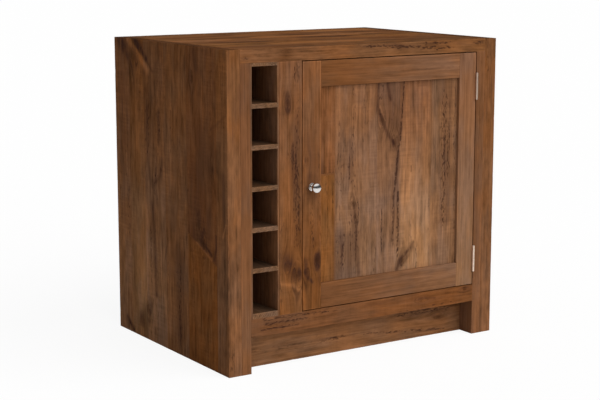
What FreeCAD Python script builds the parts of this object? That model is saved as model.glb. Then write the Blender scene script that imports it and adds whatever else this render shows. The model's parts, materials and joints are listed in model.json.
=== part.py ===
import FreeCAD, Part

import os
import re

import Sketcher

# Rustic pine base cabinet: thick gables and top, a bottle rack and one framed door on butt hinges.
# Millimetres. X runs right along the front, Y from the front to the back, Z up from the floor.
# The origin lies on the floor, in the middle of the box that the closed cabinet fills.

SIZES = {
    # whole cabinet
    "overall_width": 900, "overall_depth": 650, "overall_height": 870, "arris": 0.8,
    # thick outer boards and the front frame
    "gable_thickness": 40, "top_thickness": 36, "post_width": 30, "post_depth": 75,
    "frame_thickness": 25, "mid_stile_width": 71, "bottom_rail_height": 50,
    "frame_tenon_length": 15, "frame_tenon_thickness": 10, "frame_tenon_shoulder": 10,
    "top_tongue_length": 15, "top_tongue_thickness": 14, "top_tongue_inset": 60,
    # plinth, floor and what carries it
    "toe_height": 100, "toe_recess": 55, "plinth_thickness": 18, "floor_thickness": 18,
    "bearer_height": 50, "bearer_thickness": 25, "cleat_size": 25,
    # partition and shelf
    "partition_thickness": 18, "shelf_thickness": 18, "shelf_height": 500, "shelf_setback": 100,
    "shelf_side_gap": 1.5, "shelf_back_gap": 2, "batten_size": 20, "batten_setback": 10,
    # matched boards of the back
    "back_thickness": 12, "back_rebate": 10, "tongue_length": 5, "tongue_thickness": 4,
    "tongue_slack": 0.5, "vee_depth": 2,
    # bottle rack
    "rack_width": 90, "rack_wall": 6, "rack_roof": 9, "rack_floor": 14, "rack_depth": 350,
    "rack_back": 6, "rack_setback": 1, "divider_thickness": 12, "lowest_slot_extra": 13,
    "housing_depth": 2,
    # door
    "door_gap": 2.5, "door_thickness": 24, "door_stile_width": 60, "door_rail_width": 70,
    "panel_thickness": 10, "panel_recess": 9, "groove_depth": 12, "panel_float": 2,
    "tenon_length": 40, "haunch_height": 12,
    "stop_width": 38, "stop_thickness": 12, "stop_lap": 10, "bumper_diameter": 9, "bumper_air": 0.2,
    "bumper_inset": 100,
    # butt hinges
    "hinge_length": 76, "hinge_top_inset": 99, "hinge_bottom_inset": 79, "knuckle_diameter": 6.5,
    "knuckle_air": 0.3, "pin_diameter": 4, "pin_clearance": 0.05, "leaf_width": 16, "leaf_thickness": 1.6,
    "leaf_screw_inset": 8, "leaf_screw_pitch": 25,
    # screws
    "screw_head": 6.2, "screw_head_depth": 1, "screw_shank": 3, "screw_length": 16, "screw_clearance": 0.1,
    "back_screw_length": 25,
    # knob
    "knob_projection": 33, "knob_head": 29, "knob_head_thickness": 22, "knob_head_slope": 8, "knob_face": 13,
    "knob_rose": 22, "knob_rose_thickness": 3, "knob_neck": 11, "knob_screw": 4, "knob_thread_depth": 12,
    "knob_screw_head": 8, "knob_screw_head_height": 2.6,
    # magnetic catch
    "catch_inset": 106, "catch_block": 30, "catch_ear": 8, "catch_ear_thickness": 4, "catch_height": 14,
    "catch_depth": 18, "magnet_width": 26, "magnet_height": 10, "magnet_depth": 8, "magnet_proud": 0.5,
    "catch_air": 0.2, "strike_width": 42, "strike_height": 12, "strike_thickness": 1.6, "strike_inset": 1,
}
SLOTS = 6
BACK_BOARDS = 6
KNUCKLES = 5
SCREW_SIDES = 8

# Lines that the boards meet on, each a formula over the sheet.
LEFT = "(-overall_width / 2)"
INNER_LEFT = "(gable_thickness - overall_width / 2)"
INNER_RIGHT = "(overall_width / 2 - gable_thickness)"
INNER_WIDTH = "(overall_width - 2 * gable_thickness)"
BAY_LEFT = "(gable_thickness + post_width - overall_width / 2)"
BAY_RIGHT = "(overall_width / 2 - gable_thickness - post_width)"
BAY_WIDTH = "(overall_width - 2 * gable_thickness - 2 * post_width)"
FRONT = "((knob_projection - overall_depth) / 2)"
FRAME_BACK = f"({FRONT} + frame_thickness)"
BACK_FACE = f"({FRONT} + overall_depth - back_thickness)"
INNER_DEPTH = "(overall_depth - back_thickness - frame_thickness)"
UNDER_TOP = "(overall_height - top_thickness)"
FLOOR_TOP = "(toe_height + bottom_rail_height)"
UNDER_FLOOR = f"({FLOOR_TOP} - floor_thickness)"
OPENING = f"({UNDER_TOP} - {FLOOR_TOP})"
RACK_RIGHT = f"({BAY_LEFT} + rack_width)"
RACK_FRONT = f"({FRONT} + rack_setback)"
SLOT_HEIGHT = (f"(({OPENING} - rack_roof - rack_floor - lowest_slot_extra - {SLOTS - 1} * divider_thickness)"
               f" / {SLOTS})")
SLOT_PITCH = f"({SLOT_HEIGHT} + divider_thickness)"
LOWEST_DIVIDER = f"(rack_floor + lowest_slot_extra + {SLOT_HEIGHT})"
PARTITION_RIGHT = f"({RACK_RIGHT} + partition_thickness)"
SHELF_SPAN = f"({INNER_RIGHT} - {PARTITION_RIGHT})"
SHELF_DEPTH = "(overall_depth - back_thickness - shelf_setback - shelf_back_gap)"
DOOR_LEFT = f"({RACK_RIGHT} + mid_stile_width + door_gap)"
DOOR_RIGHT = f"({BAY_RIGHT} - door_gap)"
DOOR_WIDTH = f"({DOOR_RIGHT} - {DOOR_LEFT})"
DOOR_BOTTOM = f"({FLOOR_TOP} + door_gap)"
DOOR_HEIGHT = f"({OPENING} - 2 * door_gap)"
DOOR_BACK = f"({FRONT} + door_thickness)"
RAIL_LENGTH = f"({DOOR_WIDTH} - 2 * door_stile_width)"
PIVOT_X = f"({BAY_RIGHT} - door_gap / 2)"
BARREL_OFFSET = "(knuckle_diameter / 2 + knuckle_air)"
PIVOT_Y = f"({FRONT} - {BARREL_OFFSET})"
HINGE_MIDDLE = {"upper": f"({UNDER_TOP} - hinge_top_inset)", "lower": f"({FLOOR_TOP} + hinge_bottom_inset)"}
HINGE_SPACING = f"({HINGE_MIDDLE['upper']} - {HINGE_MIDDLE['lower']})"
FIRST_LEAF_SCREW = f"({HINGE_MIDDLE['lower']} - leaf_screw_pitch)"
KNUCKLE = f"(hinge_length / {KNUCKLES})"
BACK_BOARD = f"(({INNER_WIDTH} + 2 * back_rebate) / {BACK_BOARDS})"
BACK_LOW_SCREW = f"((toe_height + {UNDER_FLOOR}) / 2)"
BACK_HIGH_SCREW = f"({UNDER_TOP} + back_rebate / 2)"
BACK_SCREW_RISE = f"({BACK_HIGH_SCREW} - {BACK_LOW_SCREW})"
CATCH_X = f"({DOOR_LEFT} + catch_inset)"
CATCH_FRONT = f"({DOOR_BACK} + strike_thickness + catch_air + magnet_proud)"
EAR_SCREW = "((catch_block + catch_ear) / 2)"
STRIKE_SCREW = "(strike_width / 2 - screw_head)"

os.makedirs("parts", exist_ok=True)
doc = FreeCAD.newDocument("base_cabinet")
sheet = doc.addObject("Spreadsheet::Sheet", "Dims")
for row, (alias, size) in enumerate(SIZES.items(), 1):
    sheet.set(f"A{row}", alias)
    sheet.set(f"B{row}", str(size))
    sheet.setAlias(f"B{row}", alias)
doc.recompute()
subparts = []


def on_sheet(formula):
    """Turns the size names in a formula into references to the sheet."""
    return re.sub(r"[a-z]\w*", lambda word: f"Dims.{word.group()}", str(formula))


def value(formula):
    return sheet.evalExpression(on_sheet(formula))


def bind(item, prop, formula):
    item.setExpression(prop, on_sheet(formula))


def bind_place(item, prop, place):
    for axis, formula in zip("xyz", place):
        bind(item, f".{prop}.Base.{axis}", formula)


def origin_part(body, role):
    return next(feature for feature in body.Origin.OriginFeatures if feature.Role == role)


def new_body(label, place):
    """Starts one named sub-part with its local origin at the given place."""
    body = doc.addObject("PartDesign::Body", label)
    bind_place(body, "Placement", place)
    subparts.append(body)
    return body


def feature(body, kind, suffix):
    return body.newObject(kind, f"{body.Label}_{suffix}")


def draw(body, outline, plane="XY", at=(0, 0, 0)):
    """Draws a closed outline of (u, v) formulas on a plane of the body, its zero moved to a local point."""
    sketch = feature(body, "Sketcher::SketchObject", "outline")
    sketch.AttachmentSupport = [(origin_part(body, f"{plane}_Plane"), "")]
    sketch.MapMode = "FlatFace"
    x, y, z = at
    bind_place(sketch, "AttachmentOffset", {"XY": (x, y, z), "YZ": (y, z, x), "XZ": (x, z, f"-({y})")}[plane])
    corners = [FreeCAD.Vector(value(u), value(v), 0) for u, v in outline]
    for start, end in zip(corners, corners[1:] + corners[:1]):
        sketch.addGeometry(Part.LineSegment(start, end), False)
    for side, (u, v) in enumerate(outline):
        following = (side + 1) % len(outline)
        sketch.addConstraint(Sketcher.Constraint("Coincident", side, 2, following, 1))
        for kind, name, formula in (("DistanceX", "u", u), ("DistanceY", "v", v)):
            place = sketch.addConstraint(Sketcher.Constraint(kind, -1, 1, side, 1, value(formula)))
            sketch.renameConstraint(place, f"{name}{side}")
            bind(sketch, f"Constraints.{name}{side}", formula)
    return sketch


def rectangle(width, height, left=0, low=0):
    return [(left, low), (f"{left} + {width}", low), (f"{left} + {width}", f"{low} + {height}"),
            (left, f"{low} + {height}")]


def extrude(body, sketch, length, backwards=False):
    pad = feature(body, "PartDesign::Pad", "pad")
    pad.Profile = sketch
    pad.Reversed = backwards
    bind(pad, "Length", length)
    doc.recompute()
    return pad


def ease(body, pad, along):
    """Bevels the outer arrises of a board that run with its grain."""
    box = pad.Shape.BoundBox
    low, high = (box.XMin, box.YMin, box.ZMin), (box.XMax, box.YMax, box.ZMax)
    names = []
    for number, edge in enumerate(pad.Shape.Edges, 1):
        if abs(edge.tangentAt(edge.FirstParameter)[along]) < 0.99:
            continue
        middle = edge.CenterOfMass
        if all(min(abs(middle[k] - low[k]), abs(middle[k] - high[k])) < 1e-3 for k in range(3) if k != along):
            names.append(f"Edge{number}")
    bevel = feature(body, "PartDesign::Chamfer", "arrises")
    bevel.Base = (pad, names)
    bind(bevel, "Size", "arris")


def board(label, place, section, grain, length, eased=True):
    """Makes a board from the section across its grain and its length along the grain."""
    body = new_body(label, place)
    sketch = draw(body, section, {"X": "YZ", "Y": "XZ", "Z": "XY"}[grain])
    pad = extrude(body, sketch, length, backwards=grain == "Y")
    if eased:
        ease(body, pad, "XYZ".index(grain))
    return body


def block(body, kind, corner, size):
    """Adds or cuts (kind is Additive or Subtractive) a square block, such as a tenon or a mortise."""
    item = feature(body, f"PartDesign::{kind}Box", "block")
    for prop, formula in zip(("Length", "Width", "Height"), size):
        bind(item, prop, formula)
    bind_place(item, "Placement", corner)
    return item


def lathe(body, outline, axis, at=(0, 0, 0), cut=False):
    """Turns a half outline about the local X, Y or Z line through a point, as a solid or as a bored hole.

    For axis X the outline's u runs along it and v across; for axis Y and Z u is the radius.
    """
    sketch = draw(body, outline, "XZ" if axis == "Z" else "XY", at)
    turned = feature(body, "PartDesign::Groove" if cut else "PartDesign::Revolution", "turning")
    turned.Profile = sketch
    turned.ReferenceAxis = (sketch, ["H_Axis" if axis == "X" else "V_Axis"])
    turned.Angle = 360
    return turned


def repeat(body, originals, *steps):
    """Repeats features along axes, each step (axis, extent, count), or mirrors them, each step (plane,)."""
    pattern = feature(body, "PartDesign::MultiTransform", "pattern")
    pattern.Originals = originals
    moves = []
    for step in steps:
        if len(step) == 1:
            move = feature(body, "PartDesign::Mirrored", "mirror")
            move.MirrorPlane = (origin_part(body, f"{step[0]}_Plane"), [""])
        else:
            axis, extent, count = step
            move = feature(body, "PartDesign::LinearPattern", "row")
            move.Direction = (origin_part(body, f"{axis}_Axis"), [""])
            bind(move, "Length", extent)
            move.Occurrences = count
        moves.append(move)
    pattern.Transformations = moves
    body.Tip = pattern
    doc.recompute()
    return pattern


def prism(body, kind, way, at, radius, length):
    """Adds or cuts a straight bar that runs one way from a local point; few sides, as screws are many."""
    item = feature(body, f"PartDesign::{kind}Prism", "prism")
    item.Polygon = SCREW_SIDES
    axis, turn = {"+X": ((0, 1, 0), 90), "-X": ((0, 1, 0), -90),
                  "-Y": ((1, 0, 0), 90), "+Z": ((0, 0, 1), 0)}[way]
    item.Placement = FreeCAD.Placement(FreeCAD.Vector(), FreeCAD.Rotation(FreeCAD.Vector(*axis), turn))
    bind(item, "Circumradius", radius)
    bind(item, "Height", length)
    bind_place(item, "Placement", at)
    return item


def screw(body, way, at, length):
    """Adds a wood screw that is driven one way, its head flush with a local point."""
    return [prism(body, "Additive", way, at, "screw_head / 2", "screw_head_depth"),
            prism(body, "Additive", way, at, "screw_shank / 2", length)]


def pilot_hole(body, way, at, length):
    """Cuts the plain hole for the shank of such a screw, a hair deeper than the length given."""
    radius = "screw_shank / 2 + screw_clearance"
    return [prism(body, "Subtractive", way, at, radius, f"{length} + screw_clearance")]


def screw_hole(body, way, at, thickness):
    """Cuts the clearance hole for such a screw through a plate or board, with a seat for the head."""
    return [prism(body, "Subtractive", way, at, "screw_head / 2 + screw_clearance", "screw_head_depth"),
            *pilot_hole(body, way, at, thickness)]


# Gables, with the rebate for the back and the stopped groove for the top.
TOP_TONGUE_WIDTH = "(overall_depth - 2 * top_tongue_inset)"
TOP_TONGUE_RISE = "((top_thickness - top_tongue_thickness) / 2)"
for side, place, groove in (("left", LEFT, "gable_thickness - top_tongue_length"),
                            ("right", INNER_RIGHT, "0")):
    gable = board(f"{side}_gable", (place, FRONT, 0), rectangle("gable_thickness", "overall_depth"), "Z",
                  "overall_height")
    rebate = "gable_thickness - back_rebate" if side == "left" else "0"
    block(gable, "Subtractive", (rebate, "overall_depth - back_thickness", "toe_height"),
          ("back_rebate", "back_thickness", f"{UNDER_TOP} + back_rebate - toe_height"))
    block(gable, "Subtractive", (groove, "top_tongue_inset", f"{UNDER_TOP} + {TOP_TONGUE_RISE}"),
          ("top_tongue_length", TOP_TONGUE_WIDTH, "top_tongue_thickness"))

# Top board, rebated for the back, tongued into the gables and mortised for the middle stile.
TENON_WIDTH = "(mid_stile_width - 2 * frame_tenon_shoulder)"
TENON_FRONT = "((frame_thickness - frame_tenon_thickness) / 2)"
STILE_TENON_X = f"({RACK_RIGHT} + frame_tenon_shoulder)"
top = board("top_board", (INNER_LEFT, FRONT, UNDER_TOP),
            [(0, 0), ("overall_depth - back_thickness", 0), ("overall_depth - back_thickness", "back_rebate"),
             ("overall_depth", "back_rebate"), ("overall_depth", "top_thickness"), (0, "top_thickness")],
            "X", INNER_WIDTH)
block(top, "Subtractive", (f"{STILE_TENON_X} - {INNER_LEFT}", TENON_FRONT, 0),
      (TENON_WIDTH, "frame_tenon_thickness", "frame_tenon_length"))
for end in ("-top_tongue_length", INNER_WIDTH):
    block(top, "Additive", (end, "top_tongue_inset", TOP_TONGUE_RISE),
          ("top_tongue_length", TOP_TONGUE_WIDTH, "top_tongue_thickness"))
first_screw = (f"{BACK_BOARD} / 2 - back_rebate", "overall_depth - back_thickness", "back_rebate / 2")
hole = pilot_hole(top, "-Y", first_screw, "back_screw_length - back_thickness")
repeat(top, hole, ("X", f"{BACK_BOARD} * {BACK_BOARDS - 1}", BACK_BOARDS))
for offset in (f"-{EAR_SCREW}", EAR_SCREW):
    ear = (f"{CATCH_X} - {INNER_LEFT} + {offset}", f"{CATCH_FRONT} - {FRONT} + catch_depth / 2", 0)
    pilot_hole(top, "+Z", ear, "screw_length - catch_ear_thickness")

# Front frame: two posts to the floor, the bottom rail tenoned into them, and the middle stile.
RAIL_TENON_HEIGHT = "(bottom_rail_height - 2 * frame_tenon_shoulder)"
posts = {}
for side, place, inside in (("left", INNER_LEFT, "post_width - frame_tenon_length"),
                            ("right", BAY_RIGHT, "0")):
    post = board(f"{side}_front_post", (place, FRONT, 0), rectangle("post_width", "post_depth"), "Z",
                 UNDER_TOP)
    block(post, "Subtractive", (inside, TENON_FRONT, "toe_height + frame_tenon_shoulder"),
          ("frame_tenon_length", "frame_tenon_thickness", RAIL_TENON_HEIGHT))
    posts[side] = post
for middle in HINGE_MIDDLE.values():
    block(posts["right"], "Subtractive", (0, 0, f"{middle} - hinge_length / 2"),
          ("leaf_thickness", "leaf_width", "hinge_length"))
hole = pilot_hole(posts["right"], "+X", (0, "leaf_screw_inset", FIRST_LEAF_SCREW), "screw_length")
repeat(posts["right"], hole, ("Z", "2 * leaf_screw_pitch", 3), ("Z", HINGE_SPACING, 2))

rail = board("bottom_rail", (BAY_LEFT, FRONT, "toe_height"),
             rectangle("frame_thickness", "bottom_rail_height"), "X", BAY_WIDTH)
for end in ("-frame_tenon_length", BAY_WIDTH):
    block(rail, "Additive", (end, TENON_FRONT, "frame_tenon_shoulder"),
          ("frame_tenon_length", "frame_tenon_thickness", RAIL_TENON_HEIGHT))
block(rail, "Subtractive",
      (f"{STILE_TENON_X} - {BAY_LEFT}", TENON_FRONT, "bottom_rail_height - frame_tenon_length"),
      (TENON_WIDTH, "frame_tenon_thickness", "frame_tenon_length"))

stile = board("mid_stile", (RACK_RIGHT, FRONT, FLOOR_TOP), rectangle("mid_stile_width", "frame_thickness"),
              "Z", OPENING)
for end in ("-frame_tenon_length", OPENING):
    block(stile, "Additive", ("frame_tenon_shoulder", TENON_FRONT, end),
          (TENON_WIDTH, "frame_tenon_thickness", "frame_tenon_length"))

# Plinth, cupboard floor and the battens under it.
board("plinth_board", (BAY_LEFT, f"{FRONT} + toe_recess", 0), rectangle("plinth_thickness", UNDER_FLOOR), "X",
      BAY_WIDTH)
floor = board("cupboard_floor", (INNER_LEFT, FRAME_BACK, UNDER_FLOOR),
              rectangle(INNER_DEPTH, "floor_thickness"), "X", INNER_WIDTH)
for corner in ("0", f"{INNER_WIDTH} - post_width"):
    block(floor, "Subtractive", (corner, 0, 0),
          ("post_width", "post_depth - frame_thickness", "floor_thickness"))
bearer = board("rear_bearer",
               (INNER_LEFT, f"{BACK_FACE} - bearer_thickness", f"{UNDER_FLOOR} - bearer_height"),
               rectangle("bearer_thickness", "bearer_height"), "X", INNER_WIDTH)
hole = pilot_hole(bearer, "-Y", (f"{BACK_BOARD} / 2 - back_rebate", "bearer_thickness",
                                 f"{BACK_LOW_SCREW} - {UNDER_FLOOR} + bearer_height"),
                  "back_screw_length - back_thickness")
repeat(bearer, hole, ("X", f"{BACK_BOARD} * {BACK_BOARDS - 1}", BACK_BOARDS))
for side, place in (("left", INNER_LEFT), ("right", f"{INNER_RIGHT} - cleat_size")):
    board(f"{side}_cleat", (place, f"{FRONT} + post_depth", f"{UNDER_FLOOR} - cleat_size"),
          rectangle("cleat_size", "cleat_size"), "Y",
          "overall_depth - back_thickness - bearer_thickness - post_depth")

# Partition beside the rack, and the shelf on two battens.
board("partition", (RACK_RIGHT, FRAME_BACK, FLOOR_TOP), rectangle("partition_thickness", INNER_DEPTH), "Z",
      OPENING)
board("cupboard_shelf", (f"{PARTITION_RIGHT} + shelf_side_gap", f"{FRONT} + shelf_setback",
                         "shelf_height - shelf_thickness"),
      rectangle(SHELF_DEPTH, "shelf_thickness"), "X", f"{SHELF_SPAN} - 2 * shelf_side_gap")
for side, place in (("left", PARTITION_RIGHT), ("right", f"{INNER_RIGHT} - batten_size")):
    board(f"shelf_{side}_batten", (place, f"{FRONT} + shelf_setback + batten_setback",
                                   "shelf_height - shelf_thickness - batten_size"),
          rectangle("batten_size", "batten_size"), "Y", f"{SHELF_DEPTH} - batten_setback")

# Back of matched boards, tongue into groove, screwed to the top and to the bearer.
TONGUE_LOW = "(back_thickness - tongue_thickness) / 2"
TONGUE_HIGH = "(back_thickness + tongue_thickness) / 2"
for index in range(BACK_BOARDS):
    outline = [(0, 0), (BACK_BOARD, 0)]
    if index < BACK_BOARDS - 1:
        outline += [(BACK_BOARD, TONGUE_LOW), (f"{BACK_BOARD} + tongue_length", TONGUE_LOW),
                    (f"{BACK_BOARD} + tongue_length", TONGUE_HIGH), (BACK_BOARD, TONGUE_HIGH)]
    outline += [(BACK_BOARD, "back_thickness - vee_depth"), (f"{BACK_BOARD} - vee_depth", "back_thickness"),
                ("vee_depth", "back_thickness"), (0, "back_thickness - vee_depth")]
    if index > 0:
        groove = "tongue_length + tongue_slack"
        outline += [(0, TONGUE_HIGH), (groove, TONGUE_HIGH), (groove, TONGUE_LOW), (0, TONGUE_LOW)]
    back_board = board(f"back_board_{index + 1}",
                       (f"{INNER_LEFT} - back_rebate + {index} * {BACK_BOARD}", BACK_FACE, "toe_height"),
                       outline, "Z", f"{UNDER_TOP} + back_rebate - toe_height", eased=False)
    low_screw = (f"{BACK_BOARD} / 2", "back_thickness", f"{BACK_LOW_SCREW} - toe_height")
    hole = screw_hole(back_board, "-Y", low_screw, "back_thickness")
    repeat(back_board, hole, ("Z", BACK_SCREW_RISE, 2))
back_screws = new_body("back_board_screws", (f"{INNER_LEFT} - back_rebate + {BACK_BOARD} / 2",
                                             f"{BACK_FACE} + back_thickness", BACK_LOW_SCREW))
repeat(back_screws, screw(back_screws, "-Y", (0, 0, 0), "back_screw_length"),
       ("X", f"{BACK_BOARD} * {BACK_BOARDS - 1}", BACK_BOARDS), ("Z", BACK_SCREW_RISE, 2))

# Bottle rack: a box of thin boards, its dividers let into housings in the two walls.
for side, place, inside in (("left", BAY_LEFT, "rack_wall - housing_depth"),
                            ("right", f"{RACK_RIGHT} - rack_wall", "0")):
    wall = board(f"rack_{side}_wall", (place, RACK_FRONT, FLOOR_TOP), rectangle("rack_wall", "rack_depth"),
                 "Z", OPENING)
    housing = block(wall, "Subtractive", (inside, 0, LOWEST_DIVIDER),
                    ("housing_depth", "rack_depth", "divider_thickness"))
    repeat(wall, [housing], ("Z", f"{SLOTS - 2} * {SLOT_PITCH}", SLOTS - 1))
for label, height, thickness in (("rack_roof", f"{UNDER_TOP} - rack_roof", "rack_roof"),
                                 ("rack_floor", FLOOR_TOP, "rack_floor")):
    board(label, (f"{BAY_LEFT} + rack_wall", RACK_FRONT, height),
          rectangle("rack_width - 2 * rack_wall", thickness), "Y", "rack_depth")
for index in range(SLOTS - 1):
    board(f"rack_divider_{index + 1}",
          (f"{BAY_LEFT} + rack_wall - housing_depth", RACK_FRONT,
           f"{FLOOR_TOP} + {LOWEST_DIVIDER} + {index} * {SLOT_PITCH}"),
          rectangle("rack_width - 2 * rack_wall + 2 * housing_depth", "divider_thickness"), "Y", "rack_depth")
board("rack_back", (BAY_LEFT, f"{RACK_FRONT} + rack_depth", FLOOR_TOP), rectangle("rack_width", "rack_back"),
      "Z", OPENING)

# Door frame with haunched tenons, and the panel that floats in its groove.
GROOVE_BACK = "panel_recess + panel_thickness"
TENON_HEIGHT = "(door_rail_width - groove_depth - haunch_height)"


def door_stile(side, place):
    """Makes a grooved stile with a deep mortise for the tenon of each rail."""
    edge, bottom, mortise = "0", "groove_depth", "0"
    if side == "left":
        edge = "door_stile_width"
        bottom, mortise = f"{edge} - groove_depth", f"{edge} - tenon_length"
    outline = [(0, 0), ("door_stile_width", 0), ("door_stile_width", "door_thickness"), (0, "door_thickness")]
    groove = [(edge, "panel_recess"), (bottom, "panel_recess"), (bottom, GROOVE_BACK), (edge, GROOVE_BACK)]
    outline = outline[:2] + groove + outline[2:] if side == "left" else outline + groove[::-1]
    body = board(f"door_{side}_stile", (place, FRONT, DOOR_BOTTOM), outline, "Z", DOOR_HEIGHT)
    for height in ("haunch_height", f"{DOOR_HEIGHT} - door_rail_width + groove_depth"):
        block(body, "Subtractive", (mortise, "panel_recess", height),
              ("tenon_length", "panel_thickness", TENON_HEIGHT))
    return body


def door_rail(side, height):
    """Makes a grooved rail with a tenon at each end and a haunch that fills the stile's groove."""
    edge, bottom = "0", "groove_depth"
    if side == "bottom":
        edge, bottom = "door_rail_width", "door_rail_width - groove_depth"
    outline = [(0, 0), ("door_thickness", 0), ("door_thickness", "door_rail_width"), (0, "door_rail_width")]
    groove = [(GROOVE_BACK, edge), (GROOVE_BACK, bottom), ("panel_recess", bottom), ("panel_recess", edge)]
    if side == "bottom":
        outline = outline[:3] + groove + outline[3:]
    else:
        outline = outline[:1] + groove[::-1] + outline[1:]
    body = board(f"door_{side}_rail", (f"{DOOR_LEFT} + door_stile_width", FRONT, height), outline, "X",
                 RAIL_LENGTH)
    tenon_low, haunch_low = ("haunch_height", "0") if side == "bottom" else ("groove_depth", "groove_depth")
    for tenon, haunch in (("-tenon_length", "-groove_depth"), (RAIL_LENGTH, RAIL_LENGTH)):
        block(body, "Additive", (tenon, "panel_recess", tenon_low),
              ("tenon_length", "panel_thickness", TENON_HEIGHT))
        block(body, "Additive", (haunch, "panel_recess", haunch_low),
              ("groove_depth", "panel_thickness", "door_rail_width - groove_depth"))
    return body


lock_stile = door_stile("left", DOOR_LEFT)
hinge_stile = door_stile("right", f"{DOOR_RIGHT} - door_stile_width")
door_rail("bottom", DOOR_BOTTOM)
top_rail = door_rail("top", f"{DOOR_BOTTOM} + {DOOR_HEIGHT} - door_rail_width")
PANEL_LAP = "(groove_depth - panel_float)"
board("door_panel", (f"{DOOR_LEFT} + door_stile_width - {PANEL_LAP}", f"{FRONT} + panel_recess",
                     f"{DOOR_BOTTOM} + door_rail_width - {PANEL_LAP}"),
      rectangle(f"{RAIL_LENGTH} + 2 * {PANEL_LAP}", "panel_thickness"), "Z",
      f"{DOOR_HEIGHT} - 2 * door_rail_width + 2 * {PANEL_LAP}")
for middle in HINGE_MIDDLE.values():
    block(hinge_stile, "Subtractive", ("door_stile_width - leaf_thickness", 0,
                                       f"{middle} - hinge_length / 2 - {DOOR_BOTTOM}"),
          ("leaf_thickness", "leaf_width", "hinge_length"))
low_screw = ("door_stile_width", "leaf_screw_inset", f"{FIRST_LEAF_SCREW} - {DOOR_BOTTOM}")
hole = pilot_hole(hinge_stile, "-X", low_screw, "screw_length")
repeat(hinge_stile, hole, ("Z", "2 * leaf_screw_pitch", 3), ("Z", HINGE_SPACING, 2))

# Stop strip behind the closing edge, with two soft bumpers that the door meets.
board("door_stop", (f"{DOOR_LEFT} + stop_lap - stop_width", FRAME_BACK, FLOOR_TOP),
      rectangle("stop_width", "stop_thickness"), "Z", OPENING)
bumpers = new_body("door_bumpers", (f"{DOOR_LEFT} + stop_lap / 2", FRAME_BACK, f"{FLOOR_TOP} + bumper_inset"))
thick = "-(frame_thickness - door_thickness - bumper_air)"
bumper = lathe(bumpers, [(0, 0), ("bumper_diameter / 2", 0), ("bumper_diameter / 2", thick), (0, thick)], "Y")
repeat(bumpers, [bumper], ("Z", f"{OPENING} - 2 * bumper_inset", 2))

# Butt hinges: two leaves with interleaved knuckles on a pin.


def ring(outer, inner):
    """Half outline of a tube along Z, from the hinge's lower end to its upper end."""
    return [(inner, 0), (outer, 0), (outer, "hinge_length"), (inner, "hinge_length")]


def hinge_leaf(label, middle, sign, gaps, first_gap, gap_height):
    """Makes a leaf whose knuckles leave room for the knuckles of the other leaf."""
    body = new_body(label, (PIVOT_X, PIVOT_Y, f"{middle} - hinge_length / 2"))
    bore = "pin_diameter / 2 + pin_clearance"
    lathe(body, ring("knuckle_diameter / 2", bore), "Z")
    near, far = "door_gap / 2", "door_gap / 2 + leaf_thickness"
    reach = f"{BARREL_OFFSET} + leaf_width"
    plate = [(f"{sign}({u})", v) for u, v in ((near, bore), (far, bore), (far, reach), (near, reach))]
    extrude(body, draw(body, plate), "hinge_length")
    room = block(body, "Subtractive", ("-knuckle_diameter", "-knuckle_diameter", first_gap),
                 ("2 * knuckle_diameter", f"knuckle_diameter + {BARREL_OFFSET}", gap_height))
    repeat(body, [room], ("Z", f"{2 * (gaps - 1)} * {KNUCKLE}", gaps))
    hole = screw_hole(body, f"{sign}X", (f"{sign}({near})", f"{BARREL_OFFSET} + leaf_screw_inset",
                                         "hinge_length / 2 - leaf_screw_pitch"), "leaf_thickness")
    repeat(body, hole, ("Z", "2 * leaf_screw_pitch", 3))


for name, middle in HINGE_MIDDLE.items():
    hinge_leaf(f"{name}_hinge_frame_leaf", middle, "+", KNUCKLES // 2, KNUCKLE, KNUCKLE)
    hinge_leaf(f"{name}_hinge_door_leaf", middle, "-", KNUCKLES // 2 + 1, "-knuckle_air",
               f"{KNUCKLE} + 2 * knuckle_air")
    lathe(new_body(f"{name}_hinge_pin", (PIVOT_X, PIVOT_Y, f"{middle} - hinge_length / 2")),
          ring("pin_diameter / 2", 0), "Z")
for label, sign in (("hinge_frame_screws", "+"), ("hinge_door_screws", "-")):
    screws = new_body(label, (PIVOT_X, f"{FRONT} + leaf_screw_inset", FIRST_LEAF_SCREW))
    repeat(screws, screw(screws, f"{sign}X", (f"{sign}(door_gap / 2)", 0, 0), "screw_length"),
           ("Z", "2 * leaf_screw_pitch", 3), ("Z", HINGE_SPACING, 2))

# Turned knob on the closing stile, held by a screw from the inside.
KNOB_X = f"({DOOR_LEFT} + door_stile_width / 2)"
KNOB_Z = f"(({FLOOR_TOP} + {UNDER_TOP}) / 2)"
THREAD = "knob_screw / 2 + screw_clearance"
knob = new_body("door_knob", (KNOB_X, FRONT, KNOB_Z))
head_back = "(knob_head_thickness - knob_projection)"
lathe(knob, [(0, 0), ("knob_rose / 2", 0), ("knob_rose / 2", "-knob_rose_thickness"),
             ("knob_neck / 2", "-knob_rose_thickness"), ("knob_neck / 2", head_back),
             ("knob_head / 2", f"{head_back} - knob_head_slope"),
             ("knob_head / 2", "knob_head_slope - knob_projection"),
             ("knob_face / 2", "-knob_projection"), (0, "-knob_projection")], "Y")
lathe(knob, [(0, 0), (THREAD, 0), (THREAD, "-knob_thread_depth"), (0, "-knob_thread_depth")], "Y", cut=True)
lathe(lock_stile, [(0, 0), (THREAD, 0), (THREAD, "door_thickness"), (0, "door_thickness")], "Y",
      ("door_stile_width / 2", 0, f"{KNOB_Z} - {DOOR_BOTTOM}"), cut=True)
thread_end = "screw_clearance - knob_thread_depth"
head_top = "door_thickness + knob_screw_head_height"
lathe(new_body("knob_screw", (KNOB_X, FRONT, KNOB_Z)),
      [(0, thread_end), ("knob_screw / 2", thread_end), ("knob_screw / 2", "door_thickness"),
       ("knob_screw_head / 2", "door_thickness"), ("knob_screw_head / 2", head_top), (0, head_top)], "Y")

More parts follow.
